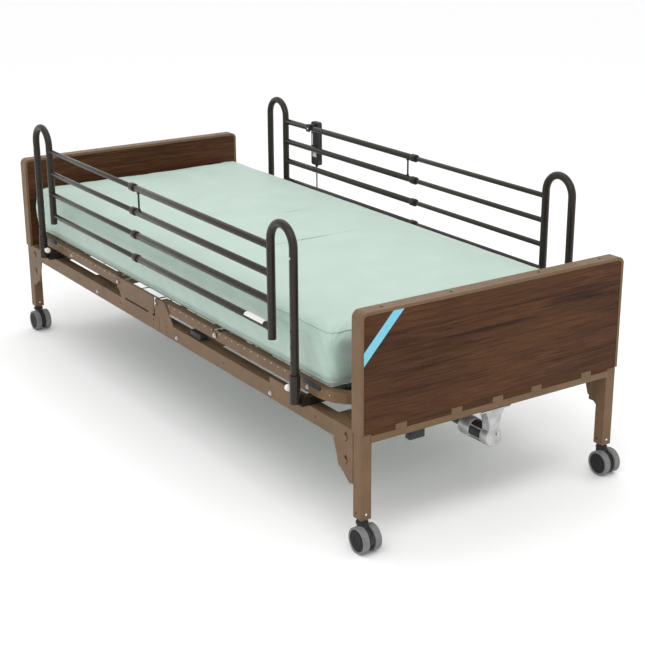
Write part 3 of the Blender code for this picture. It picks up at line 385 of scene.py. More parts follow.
# %% [markdown]
# ## Shaping helpers
#
# Everything new starts as a primitive at its size and place. These helpers
# keep the cells short: one clears the selection, one bakes the object's place
# into its mesh, and two add the plain starts, a block and a bar, each with
# its edges rounded by a Bevel modifier.

# %% Shaping helpers
def clear_selection():
    if bpy.context.mode != "OBJECT":
        bpy.ops.object.mode_set(mode="OBJECT")
    bpy.ops.object.select_all(action="DESELECT")


def make_active(piece):
    clear_selection()
    piece.select_set(True)
    bpy.context.view_layer.objects.active = piece


def settle(name, look):
    """Bakes the place into the mesh, names the piece and gives it its finish."""
    piece = bpy.context.object
    bpy.ops.object.transform_apply(location=True, rotation=True, scale=True)
    piece.name = name
    piece.data.name = name
    piece.data.materials.clear()
    piece.data.materials.append(look)
    return piece


def apply_modifier(piece, kind, **settings):
    make_active(piece)
    modifier = piece.modifiers.new(kind.lower(), kind)
    for key, value in settings.items():
        setattr(modifier, key, value)
    bpy.ops.object.modifier_apply(modifier=modifier.name)
    return piece


def round_edges(piece, width, segments=2, angle=35):
    return apply_modifier(
        piece, "BEVEL", width=width, segments=segments, limit_method="ANGLE",
        angle_limit=math.radians(angle), harden_normals=False,
    )


def smooth(piece, angle=40):
    make_active(piece)
    bpy.ops.object.shade_smooth_by_angle(angle=math.radians(angle))
    return piece


def block(name, low, high, look, edge=0.001, segments=2):
    """A rounded block between two corners, given from the middle of the bed."""
    low, high = at(*low), at(*high)
    clear_selection()
    bpy.ops.mesh.primitive_cube_add(size=1, location=(low + high) / 2, scale=high - low)
    piece = settle(name, look)
    if edge:
        round_edges(piece, edge, segments)
    return smooth(piece)


def bar(name, start, end, radius, look, sides=24, edge=0.0006):
    """A round bar between two points, with its end edges rounded."""
    start, end = at(*start), at(*end)
    along = end - start
    clear_selection()
    bpy.ops.mesh.primitive_cylinder_add(
        vertices=sides, radius=radius, depth=along.length, location=(start + end) / 2,
        rotation=along.to_track_quat("Z", "Y").to_euler(),
    )
    piece = settle(name, look)
    if edge:
        round_edges(piece, edge, 2)
    return smooth(piece)


def join(name, pieces):
    clear_selection()
    for piece in pieces:
        piece.select_set(True)
    bpy.context.view_layer.objects.active = pieces[0]
    if len(pieces) > 1:
        bpy.ops.object.join()
    joined = bpy.context.object
    joined.name = name
    joined.data.name = name
    return joined


def copy_piece(piece, name, change=None):
    """A copy with its own mesh, moved or turned over by a matrix."""
    made = piece.copy()
    made.data = piece.data.copy()
    made.name = name
    made.data.name = name
    bpy.context.collection.objects.link(made)
    if change is not None:
        made.data.transform(change)
    return made


CENTRE = at(0, 0, 0)
HALF_TURN = (
    Matrix.Translation(CENTRE) @ Matrix.Rotation(math.pi, 4, "Z") @ Matrix.Translation(-CENTRE)
)


# %% [markdown]
# ## The hand control's cord
#
# A five-millimetre cable leaves the hand control straight down, goes in over
# the frame behind the side rail, runs along it to the middle, and ends in the
# gland of the control box after one hanging loop. The route repeats the CAD's
# points. It is a curve with a bevel, turned into a mesh tube.

# %% Cord route
CORD_RADIUS = 0.0025
CORD_ROUTE = (
    (0.5180, 0.5660, 0.6157),
    (0.5180, 0.5660, 0.5900),
    (0.5180, 0.5655, 0.5550),
    (0.5165, 0.5640, 0.5150),
    (0.5120, 0.5610, 0.4750),
    (0.5030, 0.5560, 0.4350),
    (0.4900, 0.5480, 0.4000),
    (0.4740, 0.5360, 0.3700),
    (0.4570, 0.5200, 0.3490),
    (0.4420, 0.4960, 0.3442),
    (0.4345, 0.4550, 0.3440),
    (0.4320, 0.4000, 0.3440),
    (0.4330, 0.3000, 0.3440),
    (0.4325, 0.2000, 0.3440),
    (0.4330, 0.1200, 0.3440),
    (0.4300, 0.0700, 0.3445),
    (0.4200, 0.0440, 0.3446),
    (0.4110, 0.0250, 0.3440),
    (0.4050, 0.0110, 0.3300),
    (0.4015, 0.0020, 0.2950),
    (0.3960, -0.0010, 0.2300),
    (0.3860, 0.0150, 0.1650),
    (0.3700, 0.0500, 0.1300),
    (0.3520, 0.0820, 0.1450),
    (0.3400, 0.0850, 0.1900),
    (0.3330, 0.0540, 0.2340),
    (0.3300, -0.0050, 0.2560),
    (0.3300, -0.0650, 0.2615),
    (0.3300, -0.1177, 0.2620),
)


def smooth_route(route, spacing):
    """Evenly spaced points on a smooth curve through the route's points."""
    dense = []
    for index in range(len(route) - 1):
        before = Vector(route[max(index - 1, 0)])
        here, there = Vector(route[index]), Vector(route[index + 1])
        after = Vector(route[min(index + 2, len(route) - 1)])
        for step in range(20):
            t = step / 20
            a, b = 2 * t**3 - 3 * t**2 + 1, t**3 - 2 * t**2 + t
            c, d = 3 * t**2 - 2 * t**3, t**3 - t**2
            slope_in, slope_out = (there - before) / 2, (after - here) / 2
            dense.append(a * here + b * slope_in + c * there + d * slope_out)
    dense.append(Vector(route[-1]))
    total = sum((q - p).length for p, q in zip(dense, dense[1:]))
    count = round(total / spacing)
    points, walked = [dense[0]], 0.0
    for p, q in zip(dense, dense[1:]):
        length = (q - p).length
        while len(points) < count and walked + length >= total * len(points) / count:
            points.append(p.lerp(q, (total * len(points) / count - walked) / length))
        walked += length
    points.append(dense[-1])
    return points, total


def swept_tube(name, points, radius, look, closed=False, sides=3):
    """A tube along points, made as a bevelled curve and turned into a mesh."""
    curve = bpy.data.curves.new(name, "CURVE")
    curve.dimensions = "3D"
    spline = curve.splines.new("POLY")
    spline.points.add(len(points) - 1)
    for target, point in zip(spline.points, points):
        target.co = (*point, 1)
    spline.use_cyclic_u = closed
    curve.bevel_depth = radius
    curve.bevel_resolution = sides
    curve.use_fill_caps = not closed
    made = bpy.data.objects.new(name, curve)
    bpy.context.collection.objects.link(made)
    make_active(made)
    bpy.ops.object.convert(target="MESH")
    made = bpy.context.object
    made.data.materials.clear()
    made.data.materials.append(look)
    return smooth(made, 60)


cord_path, cord_length = smooth_route([at(*p) for p in CORD_ROUTE], 0.012)
cord = swept_tube("hand_control_cord", cord_path, CORD_RADIUS, CORD_RUBBER)
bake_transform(cord)
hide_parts("pendant_cord")
print("cord", round(cord_length, 3), "m")

# %% [markdown]
# ## The mattress
#
# A foam core in a zipped nylon cover. It is one soft block, welted round its
# top and bottom edges, that must bend at three places: over the back hinge,
# the thigh hinge and the knee. A box with a bump texture would look like a
# box, so a slightly smaller block is remeshed to even squares and inflated
# with the cloth solver. How far a point may move is capped, the underside is
# pressed flat again, and folds, puckers and welts are added afterwards.

# %% Inflate the mattress
MATTRESS_X = 0.4555
MATTRESS_Y = (-0.965, 1.065)
MATTRESS_Z = (0.4088, 0.574)
SWELL = 0.009

low = at(-MATTRESS_X + 0.005, MATTRESS_Y[0] + 0.006, MATTRESS_Z[0] + 0.0022)
high = at(MATTRESS_X - 0.005, MATTRESS_Y[1] - 0.006, MATTRESS_Z[1] - 0.006)
clear_selection()
bpy.ops.mesh.primitive_cube_add(size=1, location=(low + high) / 2, scale=high - low)
mattress = settle("mattress", COVER)
bpy.ops.object.mode_set(mode="EDIT")
bpy.ops.mesh.select_all(action="DESELECT")
bpy.ops.object.mode_set(mode="OBJECT")
for edge in mattress.data.edges:
    a, b = (mattress.data.vertices[i].co for i in edge.vertices)
    edge.select = abs(a.z - b.z) > 0.1
bpy.ops.object.mode_set(mode="EDIT")
bpy.ops.mesh.select_mode(type="EDGE")
bpy.ops.mesh.bevel(offset=0.040, segments=6, profile=0.5)
bpy.ops.object.mode_set(mode="OBJECT")
round_edges(mattress, 0.013, 4, angle=60)
apply_modifier(mattress, "REMESH", mode="VOXEL", voxel_size=0.010, use_smooth_shade=True)
before = np.array([v.co for v in mattress.data.vertices])
make_active(mattress)
puff = mattress.modifiers.new("cloth", "CLOTH")
puff.settings.use_pressure = True
puff.settings.uniform_pressure_force = 4
puff.settings.quality = 4
puff.settings.effector_weights.gravity = 0
puff.point_cache.frame_start, puff.point_cache.frame_end = 1, 20
for step in range(1, 21):
    bpy.context.scene.frame_set(step)
bpy.ops.object.modifier_apply(modifier="cloth")
bpy.context.scene.frame_set(1)
moved = np.array([v.co for v in mattress.data.vertices]) - before
reach = np.linalg.norm(moved, axis=1, keepdims=True)
moved *= np.minimum(1, SWELL / np.maximum(reach, 1e-9))
mattress.data.vertices.foreach_set("co", (before + moved).astype(np.float32).ravel())
print("swelled by up to", round(float(reach.max()), 4), "capped at", SWELL)
apply_modifier(mattress, "SUBSURF", levels=1, render_levels=1)
print("mattress", len(mattress.data.vertices), "points")

# %% [markdown]
# ### Folds, puckers and tension
#
# The points are moved by sums of sine waves, which repeat exactly on every
# run. Slack folds run down the sides, tight puckers sit beside the seams and
# fan out from the corners, and the wide top gets shallow hollows.

# %% Shape the cover
MIDDLE = np.array(at(0, 0, 0))
SEAMS = (0.5600, 0.4225)
spot = np.array([v.co for v in mattress.data.vertices]) - MIDDLE
normal = np.array([v.normal for v in mattress.data.vertices])
x, y, z = spot.T
side = np.clip(1 - np.abs(normal[:, 2]) * 1.3, 0, 1)
top = np.clip(normal[:, 2], 0, 1)
gap_x, gap_y = MATTRESS_X - np.abs(x), np.minimum(y - MATTRESS_Y[0], MATTRESS_Y[1] - y)
around = gap_x - gap_y + 0.20 * np.sin(4.1 * x + 2.3 * y)  # runs on round the corners
corner = np.hypot(gap_x, gap_y)
near_corner = np.exp(-corner / 0.10)
above_welt = np.clip((z - 0.4300) / 0.03, 0, 1)

slack = np.sin(around * 31 + 3 * np.sin(z * 24 + around * 2.3)) * np.sin(around * 7.3 + 1.1)
slack += 0.6 * np.sin(around * 58 + z * 70 + 2 * np.sin(around * 5.1))
lean = np.sin((around + 0.9 * z) * 95 + 2.2 * np.sin(around * 13)) * near_corner
push = side * above_welt * (0.0012 * slack + 0.0024 * lean)
hollows = np.sin(x * 6.1 + 1.3 * np.sin(y * 3.1)) * np.sin(y * 5.2 + 0.7)
hollows += 0.5 * np.sin(x * 13 + y * 9.5)
creases = np.sin((x * 0.8 + y) * 34 + 3.1 * np.sin(x * 4.2)) * np.sin(y * 3.7 + x * 2)
push += top * (0.0012 * hollows + 0.0007 * creases)
fans = np.sin(np.arctan2(gap_x, gap_y) * 26)
push += top * 0.0022 * fans * np.exp(-corner / 0.09)
for seam in SEAMS:
    beside = np.exp(-(((z - seam) / 0.011) ** 2))
    pucker = np.sin(around * 210 + 2 * np.sin(around * 31)) * np.clip((z - 0.4225) / 0.01, 0, 1)
    push -= side * beside * (0.0022 + 0.0007 * pucker)
edge_gap = np.minimum(gap_x, gap_y)
push += top * 0.0008 * np.sin(around * 190) * np.exp(-edge_gap / 0.030)
spot = spot + normal * push[:, None]
below_welt = np.clip((0.4225 - z) / 0.006, 0, 1)
spot[:, :2] += normal[:, :2] * 0.003 * below_welt[:, None]
flat = np.clip((0.4240 - spot[:, 2]) / 0.006, 0, 1)
spot[:, 2] = np.maximum(spot[:, 2] * (1 - flat) + MATTRESS_Z[0] * flat, MATTRESS_Z[0])
mattress.data.vertices.foreach_set("co", (spot + MIDDLE).astype(np.float32).ravel())
mattress.data.update()
smooth(mattress, 70)

# %% [markdown]
# ### Welts
#
# A welt is a cord sewn into the seam. Rays sent at the side of the mattress
# find the cover at seam height all the way round, and a thin tube is swept
# through those points, so the welt dips and swells with the cover.

# %% Sew the welts
def seam_loop(height, count=560):
    """Points on the cover at one height, all the way round."""
    centre = (MATTRESS_Y[0] + MATTRESS_Y[1]) / 2
    half_y = (MATTRESS_Y[1] - MATTRESS_Y[0]) / 2
    radius, loop = 0.045, []
    flat_x, flat_y = 2 * (MATTRESS_X - radius), 2 * (half_y - radius)
    length = 2 * flat_x + 2 * flat_y + 2 * math.pi * radius
    for index in range(count):
        walk = length * index / count
        for turn, run in enumerate((flat_x, flat_y, flat_x, flat_y)):
            quarter = math.pi * radius / 2
            if walk <= run + quarter:
                break
            walk -= run + quarter
        corner_x, corner_y = MATTRESS_X - radius, half_y - radius
        ahead = ((1, 0), (0, 1), (-1, 0), (0, -1))[turn]
        out = ((0, -1), (1, 0), (0, 1), (-1, 0))[turn]
        start = (
            (-corner_x, -half_y), (MATTRESS_X, -corner_y), (corner_x, half_y), (-MATTRESS_X, corner_y)
        )[turn]
        if walk <= run:
            px, py = start[0] + ahead[0] * walk, start[1] + ahead[1] * walk
        else:
            bend = (walk - run) / radius
            px = start[0] + ahead[0] * run - out[0] * radius
            py = start[1] + ahead[1] * run - out[1] * radius
            out = (
                out[0] * math.cos(bend) + ahead[0] * math.sin(bend),
                out[1] * math.cos(bend) + ahead[1] * math.sin(bend),
            )
            px, py = px + out[0] * radius, py + out[1] * radius
        outward = Vector((out[0], out[1], 0))
        ray_from = at(px, py + centre, height) + outward * 0.06
        hit, place, _, _ = mattress.ray_cast(ray_from, -outward)
        if hit:
            loop.append(place + outward * 0.0006)
    return loop


welts = []
for index, seam in enumerate(SEAMS):
    loop = seam_loop(seam)
    welts.append(swept_tube(f"welt_{index}", loop, 0.0024, COVER, closed=True, sides=2))
    print("welt at", seam, "through", len(loop), "points")
mattress = join("mattress", [mattress, *welts])

# %% [markdown]
# ### Cut it where it stays rigid
#
# A blended piece may bend across one joint only. The mattress is therefore
# cut through the middle of the seat and of the thigh, where both sides move
# together. A cut would show as a fine line in the gloss, so the uncut cover's
# normals are copied to each.

# %% Three mattress pieces
def keep_between(piece, low_y, high_y):
    """Bisects away all below low_y and above high_y, and closes the cuts."""
    for plane, sign in ((low_y, -1), (high_y, 1)):
        if plane is None:
            continue
        make_active(piece)
        bpy.ops.object.mode_set(mode="EDIT")
        bpy.ops.mesh.select_all(action="SELECT")
        bpy.ops.mesh.bisect(
            plane_co=at(0, plane, 0), plane_no=(0, sign, 0), use_fill=True,
            clear_outer=True, clear_inner=False,
        )
        bpy.ops.object.mode_set(mode="OBJECT")
    return piece


SEAT_CUT, THIGH_CUT = 0.165, -0.160
thirds = (
    ("mattress_head_third", SEAT_CUT, None, "frame", "back_section", 0.215, 0.420,
     ("mattress_back", "mattress_back_fold", "mattress_seat")),
    ("mattress_middle_third", THIGH_CUT, SEAT_CUT, "frame", "thigh_section", 0.115, -0.060,
     ("mattress_thigh_fold",)),
    ("mattress_foot_third", None, THIGH_CUT, "thigh_section", "calf_section", -0.250, -0.450,
     ("mattress_thigh", "mattress_calf")),
)
for name, low_y, high_y, first, second, start, end, nodes in thirds:
    third = keep_between(copy_piece(mattress, name), low_y, high_y)
    apply_modifier(
        third, "DATA_TRANSFER", object=mattress, use_loop_data=True,
        data_types_loops={"CUSTOM_NORMAL"}, loop_mapping="POLYINTERP_NEAREST",
    )
    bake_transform(third)
    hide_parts(*nodes)
    print(name, len(third.data.polygons), "faces")
bpy.data.objects.remove(mattress, do_unlink=True)

# %% [markdown]
# ## Side rails
#
# Each rail is two halves that slide into each other: thick bars with open
# ends, and thin bars that enter them through collars. Each half ends in a
# hoop. A hoop is a circle extruded up one leg, spun half a turn and extruded
# down the other, which is how a bender makes it too.

# %% A hoop
SIDE_X, HOOP_Y, HOOP_TOP = 0.492, 0.801, 0.785
HOOP_RADIUS, HOOP_TUBE = 0.057, 0.012
SHORT_LEG, LONG_LEG = 0.503, 0.356
BAR_Z = (0.768, 0.690, 0.613, 0.536)


def hoop(name, way):
    """The bent tube at one end of a rail. way is 1 towards the head."""
    clear_selection()
    start = at(SIDE_X, way * (HOOP_Y - HOOP_RADIUS), SHORT_LEG)
    bpy.ops.mesh.primitive_circle_add(vertices=28, radius=HOOP_TUBE, fill_type="NGON", location=start)
    piece = settle(name, RAIL_BROWN)
    bpy.ops.object.mode_set(mode="EDIT")
    bpy.ops.mesh.select_all(action="SELECT")
    bpy.ops.mesh.extrude_region_move(TRANSFORM_OT_translate={"value": (0, 0, HOOP_TOP - SHORT_LEG)})
    bpy.ops.mesh.spin(
        steps=28, angle=way * math.pi, center=at(SIDE_X, way * HOOP_Y, HOOP_TOP), axis=(1, 0, 0)
    )
    bpy.ops.mesh.extrude_region_move(TRANSFORM_OT_translate={"value": (0, 0, LONG_LEG - HOOP_TOP)})
    bpy.ops.mesh.select_all(action="SELECT")
    bpy.ops.mesh.remove_doubles(threshold=0.00001)
    bpy.ops.mesh.normals_make_consistent(inside=False)
    bpy.ops.object.mode_set(mode="OBJECT")
    round_edges(piece, 0.0012, 2)
    return smooth(piece)


# %% The thick and the thin half of the far rail
COLLAR_Y, TIE_Y = -0.090, -0.046
THICK_BAR, THIN_BAR, COLLAR = 0.0105, 0.0082, 0.0133


def run(name, y_from, y_to, height, radius, sides=24, edge=0.0006):
    """A round piece that runs along the rail."""
    return bar(name, (SIDE_X, y_from, height), (SIDE_X, y_to, height), radius, RAIL_BROWN, sides, edge)


def upright(name, z_from, z_to, radius, sides, edge):
    """A round piece that stands at the tie between the two top bars."""
    return bar(name, (SIDE_X, TIE_Y, z_from), (SIDE_X, TIE_Y, z_to), radius, RAIL_BROWN, sides, edge)


thick = [hoop("hoop", 1)]
thin = [hoop("hoop", -1)]
for height in BAR_Z:
    near, far = COLLAR_Y, HOOP_Y - HOOP_RADIUS
    thick.append(run("bar", near, far, height, THICK_BAR))
    thick.append(run("collar", near - 0.005, near + 0.021, height, COLLAR, 28, 0.0018))
    thin.append(run("bar", -far, near + 0.03, height, THIN_BAR))
    for parts, way, bead in ((thick, 1, 0.0118), (thin, -1, 0.0096)):
        weld = [way * (far - inset) for inset in (0.01426, 0.008525)]
        parts.append(run("weld_bead", *weld, height, bead, 24, 0.0022))
thick.append(upright("tie", BAR_Z[1], BAR_Z[0], 0.0031, 16, 0))
for height in (BAR_Z[0] - 0.0125, BAR_Z[1] + 0.0125):
    thick.append(upright("tie_nut", height - 0.002, height + 0.002, 0.0058, 6, 0.0006))

# The long legs have holes, where the pin catches, and a snap button near the top. The holes are near-black bars
# through the leg, painted shade of their insides.
for parts, way in ((thick, 1), (thin, -1)):
    y = way * (HOOP_Y + HOOP_RADIUS)
    for height in (0.470, 0.515, 0.560):
        ends = [(SIDE_X + out, y, height) for out in (-0.0122, 0.0122)]
        parts.append(bar("leg_hole", *ends, 0.0042, HOLE_SHADE, 16, 0.0003))
    ends = [(SIDE_X + out, y, 0.762) for out in (0.0105, 0.0136)]
    parts.append(bar("snap_button", *ends, 0.0036, ZINC, 20, 0.0010))

far_thick = join("rail_half_thick", thick)
far_thin = join("rail_half_thin", thin)
near_thick = copy_piece(far_thick, "near_rail_half_thick", HALF_TURN)
near_thin = copy_piece(far_thin, "near_rail_half_thin", HALF_TURN)
for piece, body in (
    (far_thick, "far_rail_thick"), (far_thin, "far_rail_thin"),
    (near_thick, "near_rail_thick"), (near_thin, "near_rail_thin"),
):
    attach(piece, body)
    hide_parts(body)
print("rail halves", len(far_thick.data.polygons), len(far_thin.data.polygons), "faces")

# %% [markdown]
# ## Bed ends
#
# Each end is a steel band bent round a laminate board, on two square tubes.
# A cube is cut down to the band: its top corners are bevelled to the bend,
# its faces inset to leave the lip and pushed in so that the board sits
# behind it. The posts get a hollow bottom, because the legs slide in them.

# %% One bed end
BOARD_Y, BOARD_TOP, BOARD_STEP = 1.0966, 0.672, 0.337
HALF_W, BOARD_DEPTH, LIP = 0.4572, 0.042, 0.009
POST_X, POST_HALF_Y, POST_BOTTOM, PLUG_Z = (0.4198, 0.4538), 0.0185, 0.092, 0.1085


def pick_faces(piece, test):
    """Selects the faces for which test(centre, normal) holds, in edit mode."""
    bpy.ops.object.mode_set(mode="EDIT")
    bpy.ops.mesh.select_mode(type="FACE")
    bpy.ops.mesh.select_all(action="DESELECT")
    bpy.ops.object.mode_set(mode="OBJECT")
    for face in piece.data.polygons:
        face.select = bool(test(face.center - CENTRE, face.normal))
    bpy.ops.object.mode_set(mode="EDIT")


def pick_edges(piece, test):
    """Selects the edges for which test(one end, other end) holds, in edit mode."""
    make_active(piece)
    bpy.ops.object.mode_set(mode="EDIT")
    bpy.ops.mesh.select_mode(type="EDGE")
    bpy.ops.mesh.select_all(action="DESELECT")
    bpy.ops.object.mode_set(mode="OBJECT")
    for edge in piece.data.edges:
        edge.select = bool(test(*(piece.data.vertices[i].co for i in edge.vertices)))
    bpy.ops.object.mode_set(mode="EDIT")


def band(end):
    piece = block(
        "band", (-HALF_W, end * BOARD_Y - BOARD_DEPTH / 2, BOARD_STEP - 0.0003),
        (HALF_W, end * BOARD_Y + BOARD_DEPTH / 2, BOARD_TOP), BROWN, edge=0,
    )
    pick_edges(piece, lambda a, b: abs(a.y - b.y) > 0.01 and min(a.z, b.z) > 0.6)
    bpy.ops.mesh.bevel(offset=0.020, segments=8, profile=0.5)
    pick_faces(piece, lambda centre, normal: abs(normal.y) > 0.9)
    bpy.ops.mesh.inset(thickness=LIP, depth=0, use_individual=True)
    bpy.ops.mesh.inset(thickness=0.0001, depth=-0.0052, use_individual=True)
    bpy.ops.object.mode_set(mode="OBJECT")
    for vertex in piece.data.vertices:
        if BOARD_STEP + 0.002 < vertex.co.z < BOARD_STEP + LIP + 0.002:
            vertex.co.z = BOARD_STEP - 0.0001
    round_edges(piece, 0.0010, 2)
    return smooth(piece)


def post(side, end):
    low, high = sorted((side * POST_X[0], side * POST_X[1]))
    y = end * BOARD_Y
    piece = block(
        "post", (low, y - POST_HALF_Y, POST_BOTTOM), (high, y + POST_HALF_Y, BOARD_STEP), BROWN, edge=0
    )
    pick_faces(piece, lambda centre, normal: normal.z < -0.9)
    bpy.ops.mesh.inset(thickness=0.0035, depth=0)
    bpy.ops.mesh.inset(thickness=0.0001, depth=-0.200)
    bpy.ops.object.mode_set(mode="OBJECT")
    round_edges(piece, 0.0022, 3)
    return smooth(piece)


def bed_end(name, end, node):
    y = end * BOARD_Y
    parts = [band(end), post(-1, end), post(1, end)]
    reach = POST_X[0] + 0.004
    parts.append(block("channel", (-reach, y - 0.0207, 0.311), (reach, y + 0.0207, 0.3312), BROWN, 0.0016))
    for side in (-1, 1):
        x_low, x_high = sorted((side * (POST_X[0] + 0.0005), side * (POST_X[1] - 0.0005)))
        parts.append(block(
            "post_core", (x_low, y - 0.0165, 0.3300), (x_high, y + 0.0165, 0.3450), BROWN, 0,
        ))
        x_low, x_high = sorted((side * 0.4482, side * 0.4510))
        y_low, y_high = sorted((end * 1.020, end * 1.079))
        parts.append(block("hook_plate", (x_low, y_low, 0.205), (x_high, y_high, 0.334), BROWN, 0.0004))
        for height in (0.310, 0.243):
            for part, x_from, x_to, radius, sides, edge in (
                ("rivet", 0.4490, 0.4556, 0.0042, 16, 0.0003),
                ("rivet_head", 0.4550, 0.4569, 0.0072, 24, 0.0007),
            ):
                ends = [(side * x, end * 1.046, height) for x in (x_from, x_to)]
                parts.append(bar(part, *ends, radius, BROWN, sides, edge))
        for face in (-1, 1):
            leg_x = side * (POST_X[0] + POST_X[1]) / 2
            ends = [(leg_x, y + face * (POST_HALF_Y + out), PLUG_Z) for out in (-0.0010, 0.0005)]
            parts.append(bar("leg_plug", *ends, 0.0032, WHITE_PLASTIC, 16, 0.0003))
        # Near-black discs on the posts: painted shade in the side holes.
        for x, way in zip(POST_X, (-1, 1)):
            ends = [(side * (x + way * out), y + 0.004, PLUG_Z) for out in (-0.0008, 0.0004)]
            parts.append(bar("side_hole", *ends, 0.0032, HOLE_SHADE, 16, 0))
    # Near-black discs in the top of the band: painted shade in its holes.
    for hole_x in (-0.380, -0.154, 0.154, 0.380):
        ends = [(hole_x, y, BOARD_TOP + rise) for rise in (-0.002, 0.0003)]
        parts.append(bar("top_hole", *ends, 0.0044, HOLE_SHADE, 16, 0))
    for tab_x in (-0.327, -0.140, 0.004, 0.145, 0.334):
        for face in (-1, 1):
            lo, hi = sorted((y + face * 0.0186, y + face * 0.0214))
            parts.append(block(
                "tab", (tab_x - 0.0185, lo, 0.330), (tab_x + 0.0185, hi, 0.347), BROWN, 0.0008,
            ))
    made = join(name, parts)
    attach(made, "frame")
    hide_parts(node)
    print(name, len(made.data.polygons), "faces")


bed_end("head_end_steel", 1, "headboard_frame")
bed_end("foot_end_steel", -1, "footboard_frame")

# %% [markdown]
# ## Casters
#
# Twin casters: two grey tyres on dark hubs, with a ribbed housing between
# them. One wheel is turned from a cylinder, whose outer cap is inset and
# sunk; the rest are copies.

# %% One caster, copied to four corners
LEG_X, TRAIL, WHEEL_RADIUS = 0.4368, 0.015, 0.0375
HUB = moulded("hub_plastic", (0.018, 0.019, 0.020), 0.50, 2000, 0.12, dust=0.05, shine=0.10)


def wheel(side):
    """A tyre and a hub on one side of the housing, at the middle of the bed."""
    tyre = bar(
        "tyre", (side * 0.0095, 0, WHEEL_RADIUS), (side * 0.0295, 0, WHEEL_RADIUS), WHEEL_RADIUS, TYRE, 56, 0,
    )
    make_active(tyre)
    pick_faces(tyre, lambda centre, normal: normal.x * side > 0.9)
    bpy.ops.mesh.inset(thickness=0.0064, depth=0)
    bpy.ops.mesh.inset(thickness=0.0004, depth=-0.0040)
    bpy.ops.object.mode_set(mode="OBJECT")
    round_edges(tyre, 0.0038, 4)
    smooth(tyre, 50)
    hub = bar("hub", (side * 0.0091, 0, WHEEL_RADIUS), (side * 0.0284, 0, WHEEL_RADIUS), 0.0306, HUB, 56, 0)
    make_active(hub)
    pick_faces(hub, lambda centre, normal: normal.x * side > 0.9)
    bpy.ops.mesh.inset(thickness=0.0030, depth=-0.0010)
    bpy.ops.mesh.inset(thickness=0.0120, depth=0.0012)
    bpy.ops.mesh.inset(thickness=0.0050, depth=-0.0014)
    bpy.ops.object.mode_set(mode="OBJECT")
    round_edges(hub, 0.0006, 2)
    return [tyre, smooth(hub, 50)]


wheels = join("twin_wheels", wheel(-1) + wheel(1))
housing = [bar("housing", (-0.0086, 0, WHEEL_RADIUS), (0.0086, 0, WHEEL_RADIUS), 0.0300, BLACK_PLASTIC, 48, 0.0016)]
housing.append(block(
    "neck", (-0.0085, TRAIL - 0.020, 0.046), (0.0085, TRAIL + 0.015, 0.0785), BLACK_PLASTIC, 0.0020,
))
for step in range(7):
    turn = math.radians(-60 + step * 34)
    y, z = -0.0302 * math.cos(turn), WHEEL_RADIUS + 0.0302 * math.sin(turn)
    housing.append(bar("rib", (-0.0082, y, z), (0.0082, y, z), 0.0016, BLACK_PLASTIC, 10, 0.0003))
housing.append(bar(
    "swivel_race", (0, TRAIL, 0.0768), (0, TRAIL, 0.0830), 0.0172, BLACK_PLASTIC, 40, 0.0010,
))
housing.append(bar("swivel_cap", (0, TRAIL, 0.0825), (0, TRAIL, 0.0885), 0.0150, BLACK_PLASTIC, 40, 0.0010))
housing.append(bar("stem", (0, TRAIL, 0.0860), (0, TRAIL, 0.1320), 0.0056, ZINC, 20, 0.0006))
housing = join("caster_housing", housing)
for label, end in (("head", 1), ("foot", -1)):
    for hand, side in (("near", -1), ("far", 1)):
        name = f"caster_{label}_{hand}"
        shift = Matrix.Translation((side * LEG_X, end * BOARD_Y - TRAIL, 0))
        for part, body, node in ((wheels, "_roll", "_wheels"), (housing, "_swivel", "_fork")):
            made = copy_piece(part, name + ("_twin" if part is wheels else "_housing"), shift)
            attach(made, name + body)
            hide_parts(name + node)
for part in (wheels, housing):
    bpy.data.objects.remove(part, do_unlink=True)

# %% [markdown]
# ## Height motor
#
# The motor hangs from the foot channel: a cast bell, a dark wound middle with
# its long screws, a cast drum, and a tapered neck up to a T-shaped flange.

# %% Height motor and head gearbox
MOTOR_Z = 0.222


def neck(end):
    y = end * BOARD_Y
    flange = block("flange", (-0.053, y - 0.0200, 0.3050), (0.053, y + 0.0200, 0.3107), CAST, 0.0010)
    stalk = block("stalk", (-0.019, y - 0.0155, MOTOR_Z), (0.019, y + 0.0155, 0.306), CAST, 0)
    make_active(stalk)
    pick_faces(stalk, lambda centre, normal: normal.z > 0.9)
    bpy.ops.transform.resize(value=(1.75, 1.15, 1))
    bpy.ops.mesh.select_all(action="SELECT")
    bpy.ops.mesh.subdivide(number_cuts=3)
    bpy.ops.object.mode_set(mode="OBJECT")
    for vertex in stalk.data.vertices:
        rise = (vertex.co.z - MOTOR_Z) / (0.306 - MOTOR_Z)
        waist = 1 - 0.28 * math.sin(math.pi * min(1, rise)) ** 1.5
        vertex.co.x = MID_X + (vertex.co.x - MID_X) * waist
    round_edges(stalk, 0.0030, 3, angle=50)
    smooth(stalk, 60)
    gasket = block(
        "gasket", (-0.0528, y - 0.0206, 0.3092), (0.0528, y + 0.0206, 0.3112), BLACK_PLASTIC, 0.0004,
    )
    parts = [flange, stalk, gasket]
    for side in (-1, 1):
        parts.append(block(
            "web", (side * 0.009 - 0.0013, y - 0.0166, 0.236), (side * 0.009 + 0.0013, y + 0.0170, 0.3055), CAST, 0.0008,
        ))
        parts.append(bar(
            "flange_bolt", (side * 0.043, y, 0.3012), (side * 0.043, y, 0.3052), 0.0060, ZINC, 6, 0.0006,
        ))
    return parts


